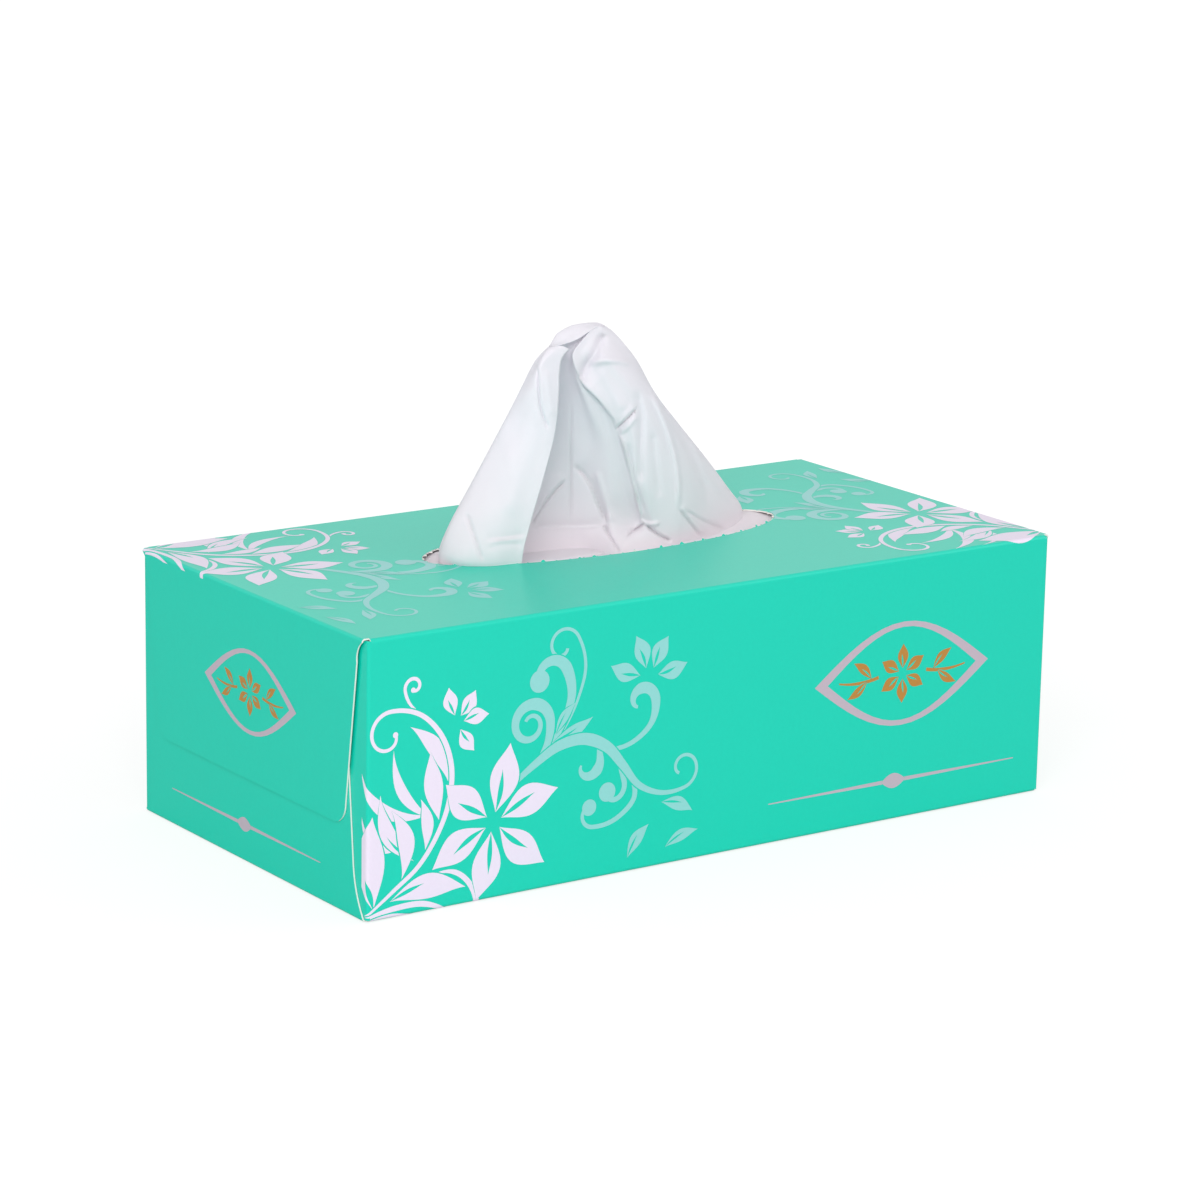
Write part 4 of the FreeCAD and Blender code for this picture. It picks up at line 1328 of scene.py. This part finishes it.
@dataclass(frozen=True)
class Panel:
    """A face of the carton, laid flat about its middle, with the folds that its ink runs over.

    A fold is where it starts and its outer radius. Ink shows only inside a window, which is half its length
    and half its height.
    """

    middle: Place
    right: Place
    up: Place
    out: Place
    folds: tuple[Point, Point]
    windows: tuple[Point, ...]
    fold_steps: int = 4
    margin: float = 1.0

    @classmethod
    def long_side(cls, side: int) -> "Panel":
        """The front panel at side -1, or the back panel at side 1."""
        return cls((0, side * HALF_WIDTH, HALF_HEIGHT), (-side, 0, 0), (0, 0, 1), (0, side, 0),
                   folds=((113.0, 0.9), (36.9, 1.1)), windows=((112.95, 38.6), (116.2, 36.8)))

    @classmethod
    def left_flap(cls, face: float) -> "Panel":
        """A flap at the left end, whose outer face lies that far from the middle."""
        return cls((-face, 0, HALF_HEIGHT), (0, -1, 0), (0, 0, 1), (-1, 0, 0),
                   folds=(NO_FOLD, NO_FOLD), windows=((53.0, 36.0),))

    @staticmethod
    def bend(flat: np.ndarray, fold: Point) -> tuple[np.ndarray, np.ndarray]:
        """Wraps flat distances over a fold at each side.

        Args:
            flat: Distances from the panel's middle.
            fold: Where the fold starts and its outer radius.

        Returns:
            Distances along the panel, and heights over it.
        """
        start, radius = fold
        beyond = np.clip(np.abs(flat) - start, 0, None)
        turn = np.minimum(beyond / radius, math.pi / 2)
        along = np.sign(flat) * (np.minimum(np.abs(flat), start) + (radius + LIFT) * np.sin(turn))
        return along, (radius + LIFT) * (np.cos(turn) - 1) - (beyond - turn * radius)

    def place(self, flat: np.ndarray) -> np.ndarray:
        """Places flat points just over the board's surface.

        Args:
            flat: Rows of distances to the right and up from the panel's middle.

        Returns:
            Rows of x, y and z.
        """
        across, first = self.bend(flat[:, 0], self.folds[0])
        up, second = self.bend(flat[:, 1], self.folds[1])
        axes = np.array([self.right, self.up, self.out])
        return np.array(self.middle) + np.column_stack([across, up, first + second + LIFT]) @ axes

    def fold_lines(self) -> list[tuple[Point, Point]]:
        """Lines along the folds, so that the ink bends there.

        Returns:
            Their end points.
        """
        reach = [max(window[axis] for window in self.windows) + self.margin for axis in (0, 1)]
        lines = []
        for axis, (start, radius) in enumerate(self.folds):
            for step in range(self.fold_steps + 1):
                place = start + radius * math.pi / 2 * step / self.fold_steps
                for side in (-place, place):
                    ends = [(side, far) for far in (-reach[1 - axis], reach[1 - axis])]
                    lines.append(tuple(end[::-1] if axis else end for end in ends))
        return lines

    def ink(self, patches: Sequence[Patch]) -> dict[Slot, tuple[np.ndarray, list]]:
        """Lays the patches one over another and keeps what shows of each ink.

        Args:
            patches: Shapes and inks, the lowest first.

        Returns:
            Corners and triangles by ink.
        """
        corners, faces, edges = [], [], []
        frames = [np.array([(-w, -h), (w, -h), (w, h), (-w, h)]) for w, h in self.windows]
        for shape in frames + [shape for shape, _ in patches]:
            faces.append(list(range(len(corners), len(corners) + len(shape))))
            corners += [Vector(point) for point in shape]
        for first, second in self.fold_lines():
            edges.append((len(corners), len(corners) + 1))
            corners += [Vector(first), Vector(second)]
        points, _, triangles, _, _, origins = delaunay_2d_cdt(corners, edges, faces, 0, SAME_POINT, True)
        kept: dict[Slot, list] = {}
        for triangle, origin in zip(triangles, origins):
            top = max(origin, default=-1)
            if top < len(frames) or min(origin) >= len(frames):
                continue
            ink = patches[top - len(frames)][1]
            if ink is not BARE:
                kept.setdefault(ink, []).append(triangle)
        flat = np.array([tuple(point) for point in points])
        return {ink: (self.place(flat), chosen) for ink, chosen in kept.items()}


@dataclass
class Print:
    """All the ink on the carton, one piece for each colour.

    A spray is placed by its corner, the direction of its own right and its scale, and the rest by their
    middles and scales.
    """

    inks: Sequence[Ink]
    spray: CornerSpray = CornerSpray()
    emblem: Emblem = Emblem()
    top: Panel = Panel((0, 0, HEIGHT), (1, 0, 0), (0, 1, 0), (0, 0, 1),
                       folds=((114.1, 0.9), (57.9, 1.1)), windows=((112.95, 60.4), (116.2, 57.5)))
    top_flap: float = 115.0
    bottom_flap: float = 114.45
    opening: tuple[Point, Point, int] = ((3.0, 4.5), (59.2, 19.7), 96)
    top_sprays: tuple[tuple[Point, Point, float], ...] = (
        ((-116.0, 58.0), (0, -1), 0.95), ((119.0, -56.5), (0, 1), 0.95))
    side_spray: tuple[Point, Point, float] = ((-115.0, -38.0), (1, 0), 1.0)
    front_plaque: tuple[Point, float] = ((62.0, 4.5), 1.0)
    front_rule: tuple[Point, float] = ((60.0, -26.5), 1.0)
    end_plaque: tuple[Point, float] = ((1.0, 10.5), 0.78)
    end_rule: tuple[Point, float] = ((-3.0, -27.5), 0.9)

    def build(self) -> None:
        """Prints the panels."""
        above = [patch for place in self.top_sprays for patch in self.spray.patches(*place)]
        corner = self.spray.patches(*self.side_spray)
        label = self.emblem.plaque(*self.front_plaque) + self.emblem.rule(*self.front_rule)
        sheets = [
            self.top.ink(above + [(oval(*self.opening), BARE)]),
            Panel.long_side(-1).ink(corner + label),
            Panel.long_side(1).ink(corner),
            Panel.left_flap(self.top_flap).ink(self.emblem.plaque(*self.end_plaque)),
            Panel.left_flap(self.bottom_flap).ink(self.emblem.rule(*self.end_rule)),
        ]
        for ink in self.inks:
            vertices, faces = [], []
            for sheet in sheets:
                if ink.slot in sheet:
                    corners, triangles = sheet[ink.slot]
                    used = sorted({number for triangle in triangles for number in triangle})
                    renumbered = {number: len(vertices) + place for place, number in enumerate(used)}
                    vertices += [tuple(corners[number] * MM) for number in used]
                    faces += [tuple(renumbered[number] for number in triangle) for triangle in triangles]
            dress(add_mesh(ink.slot.value, vertices, faces, False), ink.material())


# Torn edge


@dataclass
class TornEdge:
    """Fibres of board that the tear has bent up along the front of the oval opening.

    A tip's place is in shares of a fibre's half width, reach and rise, and a root's is only across in them.
    """

    board: PrintedBoard
    centre: Point = (3.0, 4.5)
    halves: Point = (59.0, 19.5)
    first: float = 203.0
    last: float = 338.0
    count: int = 16
    top: float = HEIGHT
    seed: int = 7
    scatter: float = 2.5
    half_widths: Point = (0.45, 0.9)
    rises: Point = (0.25, 0.65)
    reaches: Point = (0.1, 0.5)
    chord: float = 0.5
    thickness: float = 0.12
    tips: tuple[Place, ...] = ((-1, 0, 0), (-0.4, 0.8, 0.8), (0.3, 1, 1), (1, 0, 0))
    roots: tuple[Place, ...] = ((0.6, -0.5, 0.02), (-0.7, -0.5, 0.02))

    def edge(self, degrees: float) -> np.ndarray:
        """Point of the opening's edge at an angle about its centre."""
        turn = math.radians(degrees)
        return np.array([self.centre[0] + self.halves[0] * math.cos(turn),
                         self.centre[1] + self.halves[1] * math.sin(turn)])

    def build(self) -> None:
        """Makes the bent fibres."""
        chance = np.random.default_rng(self.seed)
        vertices, faces = [], []
        scatter = chance.uniform(-self.scatter, self.scatter, self.count)
        for degrees in np.linspace(self.first, self.last, self.count) + scatter:
            spans = (self.half_widths, self.rises, self.reaches)
            half, rise, reach = (chance.uniform(*span) for span in spans)
            here, after = self.edge(degrees), self.edge(degrees + self.chord)
            along = (after - here) / np.linalg.norm(after - here)
            inside = np.array([-along[1], along[0]])
            start = len(vertices)
            corners = [(across * half, depth * reach, up * rise) for across, depth, up in self.tips]
            corners += [(across * half, depth, up) for across, depth, up in self.roots]
            for across, depth, up in corners:
                x, y = here + along * across + inside * depth
                vertices.append((x * MM, y * MM, (self.top + up) * MM))
            faces.append((start, start + 3, start + 2, start + 1))
            faces.append((start + 5, start + 4, start + 3, start))
        piece = add_mesh("torn_fibres", vertices, faces, False)
        thicken(piece, self.thickness, -1)
        dress(piece, self.board.material())


# The whole


def dress_nodes(board: PrintedBoard) -> None:
    """Gives the carton that comes with the frame its printed finish.

    Args:
        board: Finish of the carton.
    """
    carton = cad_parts["carton"]
    material = board.material()
    for slot in carton.material_slots:
        slot.material = material


def main() -> None:
    """Builds every piece."""
    logging.basicConfig(level=logging.INFO)
    eye = Eye()
    eye.camera()
    Studio().build()
    board = PrintedBoard()
    dress_nodes(board)
    TornEdge(board).build()
    tints = {
        Slot.FLOWERS: linear(230, 219, 237), Slot.SCROLLS: linear(140, 208, 205),
        Slot.LABEL: linear(188, 173, 186), Slot.GOLD: linear(184, 129, 55),
    }
    Print([Ink(slot=slot, colour=tint) for slot, tint in tints.items()]).build()
    crown = Crown()
    pile = Pile(crown, Tissue(Slot.STACK.value)).build()
    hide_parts("tissue_stack")
    next_line = crown.folded(low=0.25, high=1.05, side=-1, low_end=52.5, high_end=51.9)
    next_sheet = LyingSheet(crown, next_line, (Puff(-12, -12, 45, 5, 1.1), Puff(26, -11, 16, 6, 1.2)))
    beneath = FoldedTissue(next_sheet, Tissue(Slot.FOLDED.value)).build()
    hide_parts("next_tissue")
    pulled_line = crown.folded(low=0.65, high=1.45, side=1, low_end=-51.9, high_end=-5.25)
    pulled_sheet = LyingSheet(crown, pulled_line, (Puff(54, 13, 13, 10, 2.3), Puff(-45, 10, 5.5, 10, 2.2)))
    pulled = StandingTissue(eye, Tissue(), pulled_sheet).build()
    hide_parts("pulled_tissue")


if __name__ == "__main__":
    main()
